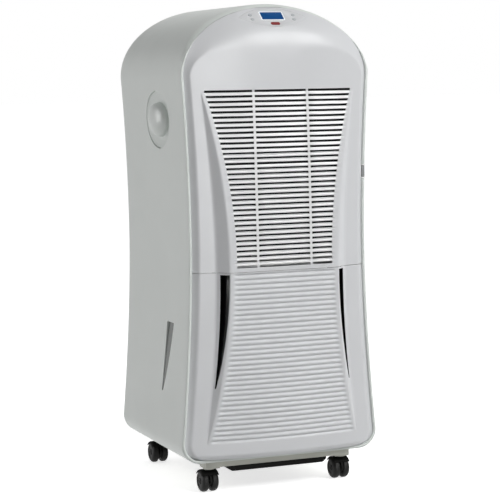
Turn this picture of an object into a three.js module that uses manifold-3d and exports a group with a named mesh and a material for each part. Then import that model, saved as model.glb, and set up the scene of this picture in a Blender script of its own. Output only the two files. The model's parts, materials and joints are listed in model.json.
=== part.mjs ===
// Tower dehumidifier: a waisted casing on four twin-wheel casters, with a louvred intake over the
// upper front, a pull-out water bucket below it and the refrigeration circuit, fan and controls inside.
//
// Millimetres. +Z is up, -Y is the front and +X is the right-hand side seen from the front. The
// origin is on the floor under the middle of the machine.

import * as THREE from 'three';
import { mergeVertices } from 'three/addons/utils/BufferGeometryUtils.js';
import Module from 'manifold-3d';

const wasm = await Module();
wasm.setup();

// ---------------------------------------------------------------- driving dimensions

const GAP = 0.3;
const LOOSE = 0.6;

const CASING = {
  frontRim: -132,
  rearEdge: 151,
  wall: 3,
  rimWidth: 5,
  rimDepth: 7,
  bottom: 49,
  footHalf: 118,
  cornerRadius: 29,
  hipHalf: 157.3,
  hipHeight: 78,
  waistHalf: 141,
  waistHeight: 370,
  shoulderHalf: 149.5,
  shoulderHeight: 617,
  crownRise: 105,
};

const FRONT = {
  seam: 331.5,
  edge: -129,
  margin: -149.3,
  bowRadius: 650,
  inset: 5.6,
  wall: 3,
  bevel: 8.5,
  crownStart: 640,
  crownSetback: 24.5,
  crownRoll: 109.5,
  crownPower: 3.2,
  fieldTop: 594,
  fieldBottom: 78,
  fieldHalf: 86,
  fieldSpread: 34,
  facet: 15.5,
  bulge: 8,
  edgeBulge: 4.5,
  lipHeight: 8,
  lipDepth: 5,
};

const GRILLE = {
  rows: 35,
  pitch: 7.5,
  topRow: 594.5,
  slotHeight: 3.5,
  halfAtSeam: 75.5,
  spread: 0.0348,
  ribAt: 42.4,
  ribWidth: 4,
};

const FINGER = { top: 328.4, tip: 161, innerTop: 87.1, outerTop: 98.3, innerDrift: 20, outerDrift: 10.4 };

const PANEL = { y: -121.4, z: 701.2, tilt: 40.5, halfWidth: 53.5, halfHeight: 20.5, thick: 2.5 };
const DISPLAY = { width: 37, height: 19.5, up: 3.7 };
const POWER_KEY = { width: 14, height: 6, up: -14.2 };
const SMALL_KEYS = [[-34, 5.5], [-33, -4.5], [34, 5.5], [33, -4.5]];
const SMALL_KEY_RADIUS = 2.8;

const BASE = { bottom: 37, skirt: 40, top: 58, half: 118, front: -124, rear: 146, block: 26, wall: 3 };
const PAN = { bottom: 30, halfBottom: 74, halfTop: 80, front: -118, rear: 134 };

const CASTER = {
  x: 107,
  front: -106,
  rear: 124,
  trail: 6,
  wheelRadius: 16,
  wheelWidth: 11.6,
  wheelInner: 2.2,
  hoodInner: 16.9,
  hoodOuter: 17.8,
  bore: 2.3,
  pin: 2,
  stem: 4,
  stemTop: 54,
  sides: 16,
};

const TANK = { half: 122, front: -117, rear: 8, bottom: 58.4, top: 317, wall: 2.5, radius: 12 };
const BAY = { wallFront: 11, shelfBottom: 333.5, sheet: 1.5 };
const FILTER = {
  bottom: 344,
  top: 599,
  front: -116.6,
  thick: 4.2,
  left: -122,
  border: 7,
  rightBorder: 22,
  tabLow: 462,
  tabHigh: 480,
};
const COIL = { half: 104, bottom: 350, top: 588 };
const FAN = { z: 452, inner: -9, outer: 66, wheelRadius: 72, scrollRadius: 84, growth: 28, sheet: 2.5 };
const GRIP = { y: -17, z: 553, radius: 43, stretch: 1.22, tilt: 2.9 };
const REAR = { plate: 2.5, proud: 157.3, slots: 12, slotPitch: 11, slotHeight: 6, firstSlot: 548 };
const PORT = { x: 70, z: 118, outer: 11, inner: 7.5 };
const GLAND = { x: -80, z: 96 };

// ---------------------------------------------------------------- finishes

const FINISH = {
  whiteShell: { color: 0xd9dcdb, roughness: 0.38, metalness: 0 },
  whitePanel: { color: 0xe2e4e4, roughness: 0.36, metalness: 0 },
  greyBase: { color: 0x96988e, roughness: 0.55, metalness: 0 },
  blackPlastic: { color: 0x191917, roughness: 0.5, metalness: 0 },
  tabGrey: { color: 0x8b8d8d, roughness: 0.5, metalness: 0 },
  tread: { color: 0x1c1c1b, roughness: 0.75, metalness: 0 },
  smoke: { color: 0x697069, roughness: 0.2, metalness: 0 },
  lcd: { color: 0x1b4ea8, roughness: 0.12, metalness: 0 },
  redKey: { color: 0x8e1d1d, roughness: 0.35, metalness: 0 },
  greyKey: { color: 0xb4b8bb, roughness: 0.45, metalness: 0 },
  tank: { color: 0xc9ccc8, roughness: 0.42, metalness: 0 },
  mesh: { color: 0x3a3d3e, roughness: 0.85, metalness: 0 },
  fins: { color: 0xb9bdc1, roughness: 0.42, metalness: 0.85 },
  copper: { color: 0xb9714a, roughness: 0.35, metalness: 0.95 },
  blackPaint: { color: 0x161718, roughness: 0.32, metalness: 0.3 },
  rubber: { color: 0x202020, roughness: 0.85, metalness: 0 },
  steel: { color: 0xa9adb0, roughness: 0.35, metalness: 0.9 },
  foam: { color: 0xdcdcd6, roughness: 0.7, metalness: 0 },
  circuit: { color: 0x1f5a3a, roughness: 0.5, metalness: 0.1 },
};

// ---------------------------------------------------------------- solids

const Y_UP_TO_Z = new THREE.Matrix4().makeBasis(
  new THREE.Vector3(0, 1, 0),
  new THREE.Vector3(0, 0, 1),
  new THREE.Vector3(1, 0, 0),
);

/** Turns a geometry into a closed solid: welded, with no flat triangles, its faces outward. */
function solid(geometry) {
  const bare = geometry.clone();
  bare.deleteAttribute('normal');
  bare.deleteAttribute('uv');
  const welded = mergeVertices(bare, 1e-3);
  const points = welded.attributes.position.array;
  const corners = welded.index.array;
  const kept = [];
  const a = new THREE.Vector3();
  const b = new THREE.Vector3();
  const c = new THREE.Vector3();
  let volume = 0;
  for (let i = 0; i < corners.length; i += 3) {
    const [p, q, r] = [corners[i], corners[i + 1], corners[i + 2]];
    if (p === q || q === r || r === p) continue;
    kept.push(p, q, r);
    a.fromArray(points, 3 * p);
    b.fromArray(points, 3 * q);
    c.fromArray(points, 3 * r);
    volume += a.dot(b.cross(c));
  }
  if (volume < 0) kept.reverse();
  return new wasm.Manifold(new wasm.Mesh({
    numProp: 3,
    vertProperties: new Float32Array(points),
    triVerts: new Uint32Array(kept),
  }));
}

function joined(...pieces) {
  return pieces.reduce((whole, piece) => whole.add(piece));
}

function cutBy(body, ...tools) {
  return tools.reduce((whole, tool) => whole.subtract(tool), body);
}

/** A box from its lowest to its highest corner. */
function box(x0, x1, y0, y1, z0, z1) {
  const geometry = new THREE.BoxGeometry(x1 - x0, y1 - y0, z1 - z0);
  return solid(geometry.translate((x0 + x1) / 2, (y0 + y1) / 2, (z0 + z1) / 2));
}

/** A flat outline drawn in X and Z, swept along Y. */
function alongY(shape, y0, y1, curveSegments = 8) {
  const geometry = new THREE.ExtrudeGeometry(shape, { depth: y1 - y0, bevelEnabled: false, curveSegments });
  return solid(geometry.rotateX(Math.PI / 2).translate(0, y1, 0));
}

/** A flat outline drawn in Y and Z, swept along X. */
function alongX(shape, x0, x1, curveSegments = 8) {
  const geometry = new THREE.ExtrudeGeometry(shape, { depth: x1 - x0, bevelEnabled: false, curveSegments });
  return solid(geometry.applyMatrix4(Y_UP_TO_Z).translate(x0, 0, 0));
}

/** A flat outline drawn in X and Y, swept along Z. */
function alongZ(shape, z0, z1, curveSegments = 8) {
  const geometry = new THREE.ExtrudeGeometry(shape, { depth: z1 - z0, bevelEnabled: false, curveSegments });
  return solid(geometry.translate(0, 0, z0));
}

/** Turned piece: profile of [radius, height] pairs about an axis named 'x', 'y' or 'z'. */
function turned(profile, axis, segments = 16, phase = 0) {
  const points = profile.map(([radius, height]) => new THREE.Vector2(radius, height));
  const geometry = new THREE.LatheGeometry(points, segments, phase);
  if (axis === 'x') geometry.rotateZ(-Math.PI / 2);
  if (axis === 'z') geometry.rotateX(Math.PI / 2);
  return solid(geometry);
}

/** Plain round bar of the given radius along an axis, from one end to the other. */
function bar(radius, from, to, axis, segments = 12) {
  return turned([[0, from], [radius, from], [radius, to], [0, to]], axis, segments);
}

function outline(points) {
  return new THREE.Shape(points.map(([x, y]) => new THREE.Vector2(x, y)));
}

function roundedRectangle(x0, x1, y0, y1, radius) {
  const shape = new THREE.Shape();
  shape.moveTo(x0 + radius, y0);
  shape.lineTo(x1 - radius, y0);
  shape.absarc(x1 - radius, y0 + radius, radius, -Math.PI / 2, 0);
  shape.absarc(x1 - radius, y1 - radius, radius, 0, Math.PI / 2);
  shape.absarc(x0 + radius, y1 - radius, radius, Math.PI / 2, Math.PI);
  shape.absarc(x0 + radius, y0 + radius, radius, Math.PI, 1.5 * Math.PI);
  return shape;
}

function mirroredX(body) {
  return body.mirror([1, 0, 0]);
}

// ---------------------------------------------------------------- scene graph

const unit = new THREE.Group();

/** Adds one named piece, with its own material, to a group. */
function add(name, body, finish, parent = unit) {
  const data = body.getMesh();
  const geometry = new THREE.BufferGeometry();
  geometry.setAttribute('position', new THREE.BufferAttribute(new Float32Array(data.vertProperties), 3));
  geometry.setIndex(new THREE.BufferAttribute(new Uint32Array(data.triVerts), 1));
  geometry.computeVertexNormals();
  const piece = new THREE.Mesh(geometry, new THREE.MeshStandardMaterial(finish));
  piece.name = name;
  parent.add(piece);
  return piece;
}

function group(parent = unit) {
  const nest = new THREE.Group();
  parent.add(nest);
  return nest;
}

// ---------------------------------------------------------------- casing outline and front surface

/** Half width of the casing at a height between its hips and its shoulders. */
function sideHalf(z) {
  if (z >= CASING.waistHeight) {
    const up = (z - CASING.waistHeight) / (CASING.shoulderHeight - CASING.waistHeight);
    return CASING.waistHalf + (CASING.shoulderHalf - CASING.waistHalf) * up ** 2;
  }
  const down = (CASING.waistHeight - z) / (CASING.waistHeight - CASING.hipHeight);
  return CASING.waistHalf + (CASING.hipHalf - CASING.waistHalf) * down ** 1.72;
}

/** Half width of the casing outline, set in by an inset, at any height. */
function halfWidth(z, inset = 0) {
  if (z > CASING.shoulderHeight) {
    const up = (z - CASING.shoulderHeight) / (CASING.crownRise - inset);
    return (CASING.shoulderHalf - inset) * Math.sqrt(Math.max(0, 1 - up ** 2));
  }
  if (z < CASING.hipHeight) {
    const radius = CASING.cornerRadius - inset;
    const centre = CASING.hipHalf - CASING.cornerRadius;
    return centre + Math.sqrt(Math.max(0, radius ** 2 - (CASING.hipHeight - z) ** 2));
  }
  return sideHalf(z) - inset;
}

/** Right-hand edge of the casing outline, from its bottom corner up to the crown. */
function rightEdge(inset) {
  const edge = [];
  const cornerSteps = 4;
  const sideSteps = 9;
  const crownSteps = 10;
  for (let i = 0; i < cornerSteps; i += 1) {
    const turn = (-Math.PI / 2) * (1 - i / cornerSteps);
    const radius = CASING.cornerRadius - inset;
    const centre = CASING.hipHalf - CASING.cornerRadius;
    edge.push([centre + radius * Math.cos(turn), CASING.hipHeight + radius * Math.sin(turn)]);
  }
  for (let i = 0; i < sideSteps; i += 1) {
    const z = CASING.hipHeight + (CASING.shoulderHeight - CASING.hipHeight) * (i / sideSteps);
    edge.push([sideHalf(z) - inset, z]);
  }
  for (let i = 0; i <= crownSteps; i += 1) {
    const turn = (Math.PI / 2) * (i / crownSteps);
    const x = (CASING.shoulderHalf - inset) * Math.cos(turn);
    const z = CASING.shoulderHeight + (CASING.crownRise - inset) * Math.sin(turn);
    edge.push([i === crownSteps ? 0 : x, z]);
  }
  return edge;
}

function mirroredEdge(edge) {
  return edge.slice(0, -1).reverse().map(([x, z]) => [-x, z]);
}

/** Full casing outline, flat across the bottom. */
function casingOutline(inset) {
  const edge = rightEdge(inset);
  return outline([...edge, ...mirroredEdge(edge)]);
}

/** Band of the casing wall between two insets: closed over the top, open between its two feet. */
function wallBand(outerInset, innerInset) {
  const outer = rightEdge(outerInset);
  const inner = rightEdge(innerInset);
  const foot = CASING.footHalf;
  return outline([
    [foot, outer[0][1]],
    ...outer,
    ...mirroredEdge(outer),
    [-foot, outer[0][1]],
    [-foot, inner[0][1]],
    ...[...inner, ...mirroredEdge(inner)].reverse(),
    [foot, inner[0][1]],
  ]);
}

/** Depth of the front panel's edge: level up the sides, set back over the crown. */
function edgeDepth(z) {
  const top = CASING.shoulderHeight + CASING.crownRise;
  const over = Math.max(0, z - FRONT.crownStart) / (top - FRONT.crownStart);
  return FRONT.edge + FRONT.crownSetback * over ** 2;
}

/** How far the hourglass field stands out at a height, from 0 at its ends to 1 at the seam. */
function fieldRise(z) {
  const reach = z > FRONT.seam ? FRONT.fieldTop - FRONT.seam : FRONT.seam - FRONT.fieldBottom;
  const away = Math.min(1, Math.abs(z - FRONT.seam) / reach);
  return { rise: 1 - away ** 2, half: FRONT.fieldHalf + FRONT.fieldSpread * away ** 2 };
}

/** Depth of the front surface: bowed in plan, with the raised field and a bevelled, rolled edge. */
function frontDepth(x, z) {
  const across = Math.abs(x);
  const bow = across ** 2 / (2 * FRONT.bowRadius);
  const { rise, half } = fieldRise(z);
  const blend = THREE.MathUtils.clamp(1 - (across - half) / (FRONT.facet * rise + 1), 0, 1);
  const inField = Math.min(1, across / half) ** 2;
  const raised = rise * blend * (FRONT.bulge + FRONT.edgeBulge * inField);
  const edgeX = CASING.shoulderHalf - FRONT.inset;
  const edgeZ = CASING.crownRise - FRONT.inset;
  const above = Math.max(0, z - CASING.shoulderHeight);
  const turn = Math.atan2(above / edgeZ, across / edgeX);
  const crown = Math.sin(turn) ** 2;
  let inward = halfWidth(z, FRONT.inset) - across;
  let rimHeight = z;
  if (z > CASING.shoulderHeight) {
    const ratio = Math.hypot(across / edgeX, (z - CASING.shoulderHeight) / edgeZ);
    const ray = Math.hypot(edgeX * Math.cos(turn), edgeZ * Math.sin(turn));
    inward = (1 - ratio) * ray;
    rimHeight = CASING.shoulderHeight + edgeZ * Math.sin(turn);
  }
  const reach = FRONT.bevel + FRONT.crownRoll * crown;
  const fall = Math.max(0, 1 - Math.max(0, inward) / reach) ** (1 + FRONT.crownPower * crown);
  const drop = edgeDepth(rimHeight) - (FRONT.margin + bow);
  const lip = Math.max(0, 1 - (z - CASING.bottom - FRONT.inset) / FRONT.lipHeight) ** 2;
  return FRONT.margin + bow - raised + drop * fall + FRONT.lipDepth * lip;
}

/** Column positions across the front at one height, as fractions that follow the field's edge. */
function frontColumns(z) {
  const edge = halfWidth(z, FRONT.inset);
  const limit = Math.min(z, FRONT.fieldTop);
  const scale = edge / halfWidth(limit, FRONT.inset);
  const { rise, half } = fieldRise(limit);
  const margin = halfWidth(limit, FRONT.inset) - FRONT.bevel;
  const right = [half, half + FRONT.facet * rise + 1.5, margin].map((x) => x * scale);
  return [-edge, ...right.map((x) => -x).reverse(), 0, ...right, edge];
}

/** A shell that follows the front surface between two heights, one wall thick. */
function frontShell(rows) {
  const columns = frontColumns(rows[0]).length;
  const points = [];
  for (const offset of [0, FRONT.wall]) {
    for (const z of rows) {
      for (const x of frontColumns(z)) points.push(x, frontDepth(x, z) + offset, z);
    }
  }
  const at = (layer, row, column) => (layer * rows.length + row) * columns + column;
  const faces = [];
  const quad = (a, b, c, d) => faces.push(a, b, c, a, c, d);
  for (let row = 0; row + 1 < rows.length; row += 1) {
    for (let column = 0; column + 1 < columns; column += 1) {
      quad(at(0, row, column), at(0, row, column + 1), at(0, row + 1, column + 1), at(0, row + 1, column));
      quad(at(1, row, column), at(1, row + 1, column), at(1, row + 1, column + 1), at(1, row, column + 1));
    }
    const last = columns - 1;
    quad(at(0, row, 0), at(0, row + 1, 0), at(1, row + 1, 0), at(1, row, 0));
    quad(at(0, row, last), at(1, row, last), at(1, row + 1, last), at(0, row + 1, last));
  }
  const top = rows.length - 1;
  for (let column = 0; column + 1 < columns; column += 1) {
    quad(at(0, 0, column), at(1, 0, column), at(1, 0, column + 1), at(0, 0, column + 1));
    quad(at(0, top, column), at(0, top, column + 1), at(1, top, column + 1), at(1, top, column));
  }
  const geometry = new THREE.BufferGeometry();
  geometry.setAttribute('position', new THREE.Float32BufferAttribute(points, 3));
  geometry.setIndex(faces);
  return solid(geometry);
}

/** Curved, tapering finger slot outline on the right-hand side, grown outward by a margin. */
function fingerOutline(grow) {
  const inner = [];
  const outer = [];
  const steps = 5;
  for (let i = 0; i <= steps; i += 1) {
    const t = i / steps;
    const z = FINGER.top + grow - (FINGER.top - FINGER.tip + 2 * grow) * t;
    inner.push([FINGER.innerTop + FINGER.innerDrift * t ** 2 - grow, z]);
    outer.push([FINGER.outerTop + FINGER.outerDrift * t ** 2 + grow, z]);
  }
  return outline([...inner, ...outer.reverse()]);
}

/** Tapering level-sight outline in Y and Z: straight behind, curved in front, closing to a tip. */
function sightOutline(grow) {
  const top = 251.5 + grow;
  const tip = 145 - grow;
  const shape = new THREE.Shape();
  shape.moveTo(-26 + grow, tip);
  shape.lineTo(-39 + grow, top);
  shape.lineTo(-69 - grow, top);
  shape.quadraticCurveTo(-55 - grow, 193, -31 - grow, tip);
  return shape;
}

// ---------------------------------------------------------------- casing

function buildCasing() {
  const band = alongY(wallBand(0, CASING.wall), CASING.frontRim, CASING.rearEdge);
  const rim = cutBy(
    alongY(casingOutline(0), CASING.frontRim, CASING.frontRim + CASING.rimDepth),
    alongY(casingOutline(CASING.rimWidth), CASING.frontRim - 5, CASING.frontRim + CASING.rimDepth + 5),
  );
  const scoop = [[CASING.frontRim - 20, FRONT.crownStart]];
  const scoopSteps = 5;
  for (let i = 0; i <= scoopSteps; i += 1) {
    const overCrown = CASING.shoulderHeight + CASING.crownRise + 6;
    const z = FRONT.crownStart + (overCrown - FRONT.crownStart) * (i / scoopSteps);
    scoop.push([edgeDepth(z) - 3, z]);
  }
  scoop.push([CASING.frontRim - 20, CASING.shoulderHeight + CASING.crownRise + 6]);
  const gripHole = bar(GRIP.radius + 2 * GAP, 120, 170, 'x', 24).scale([1, GRIP.stretch, 1])
    .translate([0, GRIP.y, GRIP.z]);
  const sightHole = alongX(sightOutline(0), 120, 170, 5);
  const filterSlot = box(120, 170, FILTER.front - LOOSE, FILTER.front + FILTER.thick + LOOSE,
    FILTER.bottom - 2, FILTER.top + 2);
  const tabNotch = box(CASING.waistHalf - 6, 170, CASING.frontRim - 5, FILTER.front,
    FILTER.tabLow - 1, FILTER.tabHigh + 1);
  return cutBy(joined(band, rim), alongX(outline(scoop), -170, 170), gripHole, mirroredX(gripHole),
    sightHole, mirroredX(sightHole), filterSlot, tabNotch);
}

function buildGrip(side) {
  const profile = [
    [0, 11], [9, 10], [18, 5.8], [24.5, -1.5], [26, -4.6], [38, -3.6], [42.2, -2.8], [43, -2.2],
    [43, -5], [39, -6.5], [36, -7], [0, -7],
  ];
  const grip = turned(profile, 'x', 18).scale([1, GRIP.stretch, 1]).rotate([0, GRIP.tilt, 0]);
  const seat = grip.translate([sideHalf(GRIP.z) - 0.3, GRIP.y, GRIP.z]);
  return side > 0 ? seat : mirroredX(seat);
}

function buildSight(side) {
  const sheet = alongY(wallBand(CASING.wall - 1.2, CASING.wall + 0.8), -90, 0);
  const window = sheet.intersect(alongX(sightOutline(-GAP), 100, 170, 5));
  return side > 0 ? window : mirroredX(window);
}

function buildRearCover() {
  const outline = casingOutline(CASING.wall + GAP);
  const plate = alongY(outline, CASING.rearEdge - REAR.plate - 1, CASING.rearEdge - 1);
  const low = 534;
  const high = low + REAR.slots * REAR.slotPitch + 16;
  const raised = alongY(roundedRectangle(-106, 106, low, high, 10), CASING.rearEdge - 3, REAR.proud, 3);
  const inside = roundedRectangle(-103, 103, low + 3, high - 3, 8);
  const hollow = alongY(inside, CASING.rearEdge - 10, REAR.proud - 2.5, 3);
  const slots = [];
  for (let i = 0; i < REAR.slots; i += 1) {
    const z = REAR.firstSlot + i * REAR.slotPitch;
    slots.push(box(-94, 94, CASING.rearEdge - 10, REAR.proud + 5, z, z + REAR.slotHeight));
  }
  const stay = box(-3, 3, REAR.proud - 2.5, REAR.proud - 0.6, low + 2, high - 2);
  const portHole = bar(PORT.outer + GAP, 130, 170, 'y', 16).translate([PORT.x, 0, PORT.z]);
  const glandHole = bar(8 + GAP, 130, 170, 'y', 12).translate([GLAND.x, 0, GLAND.z]);
  return joined(cutBy(joined(plate, raised), hollow, ...slots, portHole, glandHole), stay);
}

// ---------------------------------------------------------------- front panel, filter and controls

/** Moves a solid from the control panel's own frame to its tilted seat on the crown. */
function onPanel(body) {
  return body.rotate([PANEL.tilt, 0, 0]).translate([0, PANEL.y, PANEL.z]);
}

function lens(grow, z0, z1) {
  const w = PANEL.halfWidth + grow;
  const h = PANEL.halfHeight + grow;
  const radius = (w ** 2 + h ** 2) / (2 * h);
  const sweep = Math.asin(w / radius);
  const shape = new THREE.Shape();
  shape.absarc(0, h - radius, radius, Math.PI / 2 - sweep, Math.PI / 2 + sweep);
  shape.absarc(0, radius - h, radius, 1.5 * Math.PI - sweep, 1.5 * Math.PI + sweep);
  return alongZ(shape, z0, z1, 8);
}

/** The key openings, each one grown by a clearance, between two levels of the panel's frame. */
function keyOpenings(clearance, z0, z1) {
  const half = POWER_KEY.height / 2 + clearance;
  const pill = roundedRectangle(-POWER_KEY.width / 2 - clearance, POWER_KEY.width / 2 + clearance,
    POWER_KEY.up - half, POWER_KEY.up + half, half - 0.01);
  const radius = SMALL_KEY_RADIUS + clearance;
  const round = SMALL_KEYS.map(([x, y]) => bar(radius, z0, z1, 'z', 8).translate([x, y, 0]));
  return [alongZ(pill, z0, z1, 3), ...round];
}

function displayBlock(clearance, z0, z1) {
  const half = DISPLAY.height / 2 + clearance;
  const width = DISPLAY.width / 2 + clearance;
  return box(-width, width, DISPLAY.up - half, DISPLAY.up + half, z0, z1);
}

function buildFrontPanel() {
  const rows = [FRONT.seam + GAP, 380, 430, 480, 530, 565, FRONT.fieldTop, CASING.shoulderHeight,
    640, 660, 676, 690, 700, 708, 713.5, 716.4];
  const shell = frontShell(rows);
  const lensSeat = onPanel(lens(2.5, -6, -0.6)).intersect(box(-100, 100, -200, 0, 600, 714.5));
  const slots = [];
  for (let i = 0; i < GRILLE.rows; i += 1) {
    const z = GRILLE.topRow - i * GRILLE.pitch;
    const half = GRILLE.halfAtSeam + GRILLE.spread * (GRILLE.rows - 1 - i) ** 2;
    slots.push(box(-half, half, -200, -100, z - GRILLE.slotHeight / 2, z + GRILLE.slotHeight / 2));
  }
  const low = GRILLE.topRow - (GRILLE.rows - 1) * GRILLE.pitch - 3;
  const high = GRILLE.topRow + 3;
  const ribShape = outline([
    [frontDepth(GRILLE.ribAt, low) + 1.2, low],
    [frontDepth(GRILLE.ribAt, low) + 5, low],
    [frontDepth(GRILLE.ribAt, 470) + 5, 470],
    [frontDepth(GRILLE.ribAt, high) + 5, high],
    [frontDepth(GRILLE.ribAt, high) + 1.2, high],
    [frontDepth(GRILLE.ribAt, 530) + 1.2, 530],
    [frontDepth(GRILLE.ribAt, 430) + 1.2, 430],
  ]);
  const rib = alongX(ribShape, GRILLE.ribAt - GRILLE.ribWidth / 2, GRILLE.ribAt + GRILLE.ribWidth / 2);
  const pierced = joined(cutBy(shell, ...slots), rib, mirroredX(rib), lensSeat);
  return cutBy(pierced, onPanel(lens(GAP, -PANEL.thick - GAP, 30)),
    ...keyOpenings(LOOSE, -12, 0).map(onPanel), onPanel(displayBlock(-3, -12, 0)));
}

function buildControls(parent) {
  const fascia = cutBy(lens(0, -PANEL.thick, 0), ...keyOpenings(GAP, -5, 5), displayBlock(GAP, -5, 5));
  const tilted = group(parent);
  tilted.position.set(0, PANEL.y, PANEL.z);
  tilted.rotation.x = THREE.MathUtils.degToRad(PANEL.tilt);
  add('control_fascia', fascia, FINISH.whitePanel, tilted);
  add('display_window', displayBlock(0, -PANEL.thick, -0.2), FINISH.lcd, tilted);
  keyOpenings(0, -5, 0.7).forEach((key, i) => {
    add(i === 0 ? 'power_key' : `small_key_${i}`, key, i === 0 ? FINISH.redKey : FINISH.greyKey, tilted);
  });
  add('control_board', box(-34, 34, -13, 13, -9.2, -7.6), FINISH.circuit, tilted);
}

/** Filter outline in X and Z, set in by its borders: straight on the left, along the casing on the right. */
function filterOutline(border, rightBorder) {
  const right = [];
  const steps = 4;
  for (let i = 0; i <= steps; i += 1) {
    const z = FILTER.bottom + border + (FILTER.top - FILTER.bottom - 2 * border) * (i / steps);
    right.push([sideHalf(z) - rightBorder, z]);
  }
  return outline([[FILTER.left + border, FILTER.bottom + border], ...right,
    [FILTER.left + border, FILTER.top - border]]);
}

function buildFilter(parent) {
  const back = FILTER.front + FILTER.thick;
  const opening = alongY(filterOutline(FILTER.border, FILTER.rightBorder), FILTER.front - 5, back + 5);
  const stays = [-40, 40].map((x) => box(x - 1.5, x + 1.5, FILTER.front, FILTER.front + 1.4,
    FILTER.bottom + 2, FILTER.top - 2));
  const tabEdge = sideHalf((FILTER.tabLow + FILTER.tabHigh) / 2);
  const tab = box(tabEdge - 4, tabEdge + 0.6, CASING.frontRim + 3, FILTER.front + 1,
    FILTER.tabLow, FILTER.tabHigh);
  const frame = joined(cutBy(alongY(filterOutline(0, LOOSE), FILTER.front, back), opening), ...stays, tab);
  add('filter_frame', frame, FINISH.tabGrey, parent);
  const screenEdge = filterOutline(FILTER.border + 2 * GAP, FILTER.rightBorder + 2 * GAP);
  const screen = alongY(screenEdge, FILTER.front + 1.8, FILTER.front + 2.6);
  add('filter_mesh', screen, FINISH.mesh, parent);
}

// ---------------------------------------------------------------- base and casters

function casterPlaces() {
  return [
    ['front_left', -CASTER.x, CASTER.front],
    ['front_right', CASTER.x, CASTER.front],
    ['rear_left', -CASTER.x, CASTER.rear],
    ['rear_right', CASTER.x, CASTER.rear],
  ];
}

function buildBaseFrame() {
  const plan = roundedRectangle(-BASE.half, BASE.half, BASE.front, BASE.rear, 14);
  const pocket = roundedRectangle(-BASE.half + BASE.wall, BASE.half - BASE.wall,
    BASE.front + BASE.wall, BASE.rear - BASE.wall, 11);
  const slab = alongZ(plan, BASE.skirt, CASING.bottom - GAP, 3);
  const tray = cutBy(slab, alongZ(pocket, BASE.skirt + BASE.wall, 90, 3));
  const innerPlan = roundedRectangle(-BASE.half + 1, BASE.half - 1, CASING.frontRim + 14, BASE.rear - 2, 12);
  const inner = cutBy(alongZ(innerPlan, BASE.skirt + 1, BASE.top, 3), alongZ(pocket, BASE.skirt, 90, 3));
  const blocks = casterPlaces().map(([, x, y]) => {
    const out = Math.sign(x);
    const x0 = Math.min(x - out * BASE.block / 2, out * (BASE.half - 1.5));
    const x1 = Math.max(x - out * BASE.block / 2, out * (BASE.half - 1.5));
    const back = y + Math.min(BASE.block / 2, BASE.rear - 4 - y);
    return box(x0, x1, y - BASE.block / 2, back, BASE.bottom, BASE.top);
  });
  const boss = bar(9, BASE.bottom - 1.8, BASE.bottom + 2, 'z');
  const bosses = casterPlaces().map(([, x, y]) => boss.translate([x, y, 0]));
  const holes = casterPlaces().map(([, x, y]) => (
    bar(CASTER.stem + GAP, BASE.bottom - 5, CASTER.stemTop + GAP, 'z', 8).translate([x, y, 0])));
  return cutBy(joined(tray, inner, ...blocks, ...bosses), ...holes);
}

function buildBasePan() {
  const section = outline([
    [-PAN.halfBottom, PAN.bottom], [PAN.halfBottom, PAN.bottom], [PAN.halfTop, 35],
    [PAN.halfTop, BASE.skirt - GAP], [-PAN.halfTop, BASE.skirt - GAP], [-PAN.halfTop, 35],
  ]);
  return alongY(section, PAN.front, PAN.rear);
}

function buildHood() {
  const from = THREE.MathUtils.degToRad(36);
  const to = Math.PI - from;
  const arch = new THREE.Shape();
  arch.absarc(0, 0, CASTER.hoodOuter, from, to);
  arch.absarc(0, 0, CASTER.hoodInner, to, from, true);
  const web = new THREE.Shape();
  web.absarc(0, 0, CASTER.hoodInner + 0.5, 0, Math.PI);
  web.lineTo(-5, -9);
  web.lineTo(5, -9);
  const half = CASTER.wheelInner + CASTER.wheelWidth;
  const axle = bar(CASTER.pin, -half + 0.5, half - 0.5, 'x', 6);
  const cheek = CASTER.wheelInner - 0.4;
  const covers = joined(alongX(arch, -half, half, 5), alongX(web, -cheek, cheek, 5), axle);
  const seat = covers.translate([0, CASTER.trail, CASTER.wheelRadius]);
  const collarBase = CASTER.wheelRadius + CASTER.hoodInner + 0.2;
  const collar = bar(6.5, collarBase, BASE.bottom - 1.8 - GAP, 'z', 8);
  const stem = bar(CASTER.stem, collarBase + 0.5, CASTER.stemTop, 'z', 8);
  return joined(seat, collar, stem);
}

function buildWheel() {
  const rim = CASTER.wheelRadius / Math.cos(Math.PI / CASTER.sides);
  const w = CASTER.wheelWidth;
  const profile = [
    [CASTER.bore, 0], [rim - 3, 0], [rim, 3], [rim, w - 5], [rim - 4, w], [CASTER.bore, w], [CASTER.bore, 0],
  ];
  return turned(profile, 'x', CASTER.sides, Math.PI / CASTER.sides);
}

function buildCasters() {
  const hood = buildHood();
  const wheel = buildWheel();
  for (const [place, x, y] of casterPlaces()) {
    const nest = group();
    nest.position.set(x, y, 0);
    add(`caster_hood_${place}`, hood, FINISH.blackPlastic, nest);
    const right = wheel.translate([CASTER.wheelInner, CASTER.trail, CASTER.wheelRadius]);
    add(`caster_wheel_${place}_a`, mirroredX(right), FINISH.tread, nest);
    add(`caster_wheel_${place}_b`, right, FINISH.tread, nest);
  }
}

// ---------------------------------------------------------------- water bucket

function buildTank() {
  const plan = roundedRectangle(-TANK.half, TANK.half, TANK.front, TANK.rear, TANK.radius);
  const cavity = roundedRectangle(-TANK.half + TANK.wall, TANK.half - TANK.wall,
    TANK.front + TANK.wall, TANK.rear - TANK.wall, TANK.radius - TANK.wall);
  const block = alongZ(plan, TANK.bottom, TANK.top, 4);
  const tub = cutBy(block, alongZ(cavity, TANK.bottom + TANK.wall, TANK.top + 9, 4));
  const lugs = [-34, 34].map((x) => box(x - 2, x + 2, TANK.rear - 20, TANK.rear - 1, 286, 302));
  const pinHole = bar(2 + GAP, -50, 50, 'x', 10).translate([0, TANK.rear - 15, 294]);
  return cutBy(joined(tub, ...lugs), pinHole);
}

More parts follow.
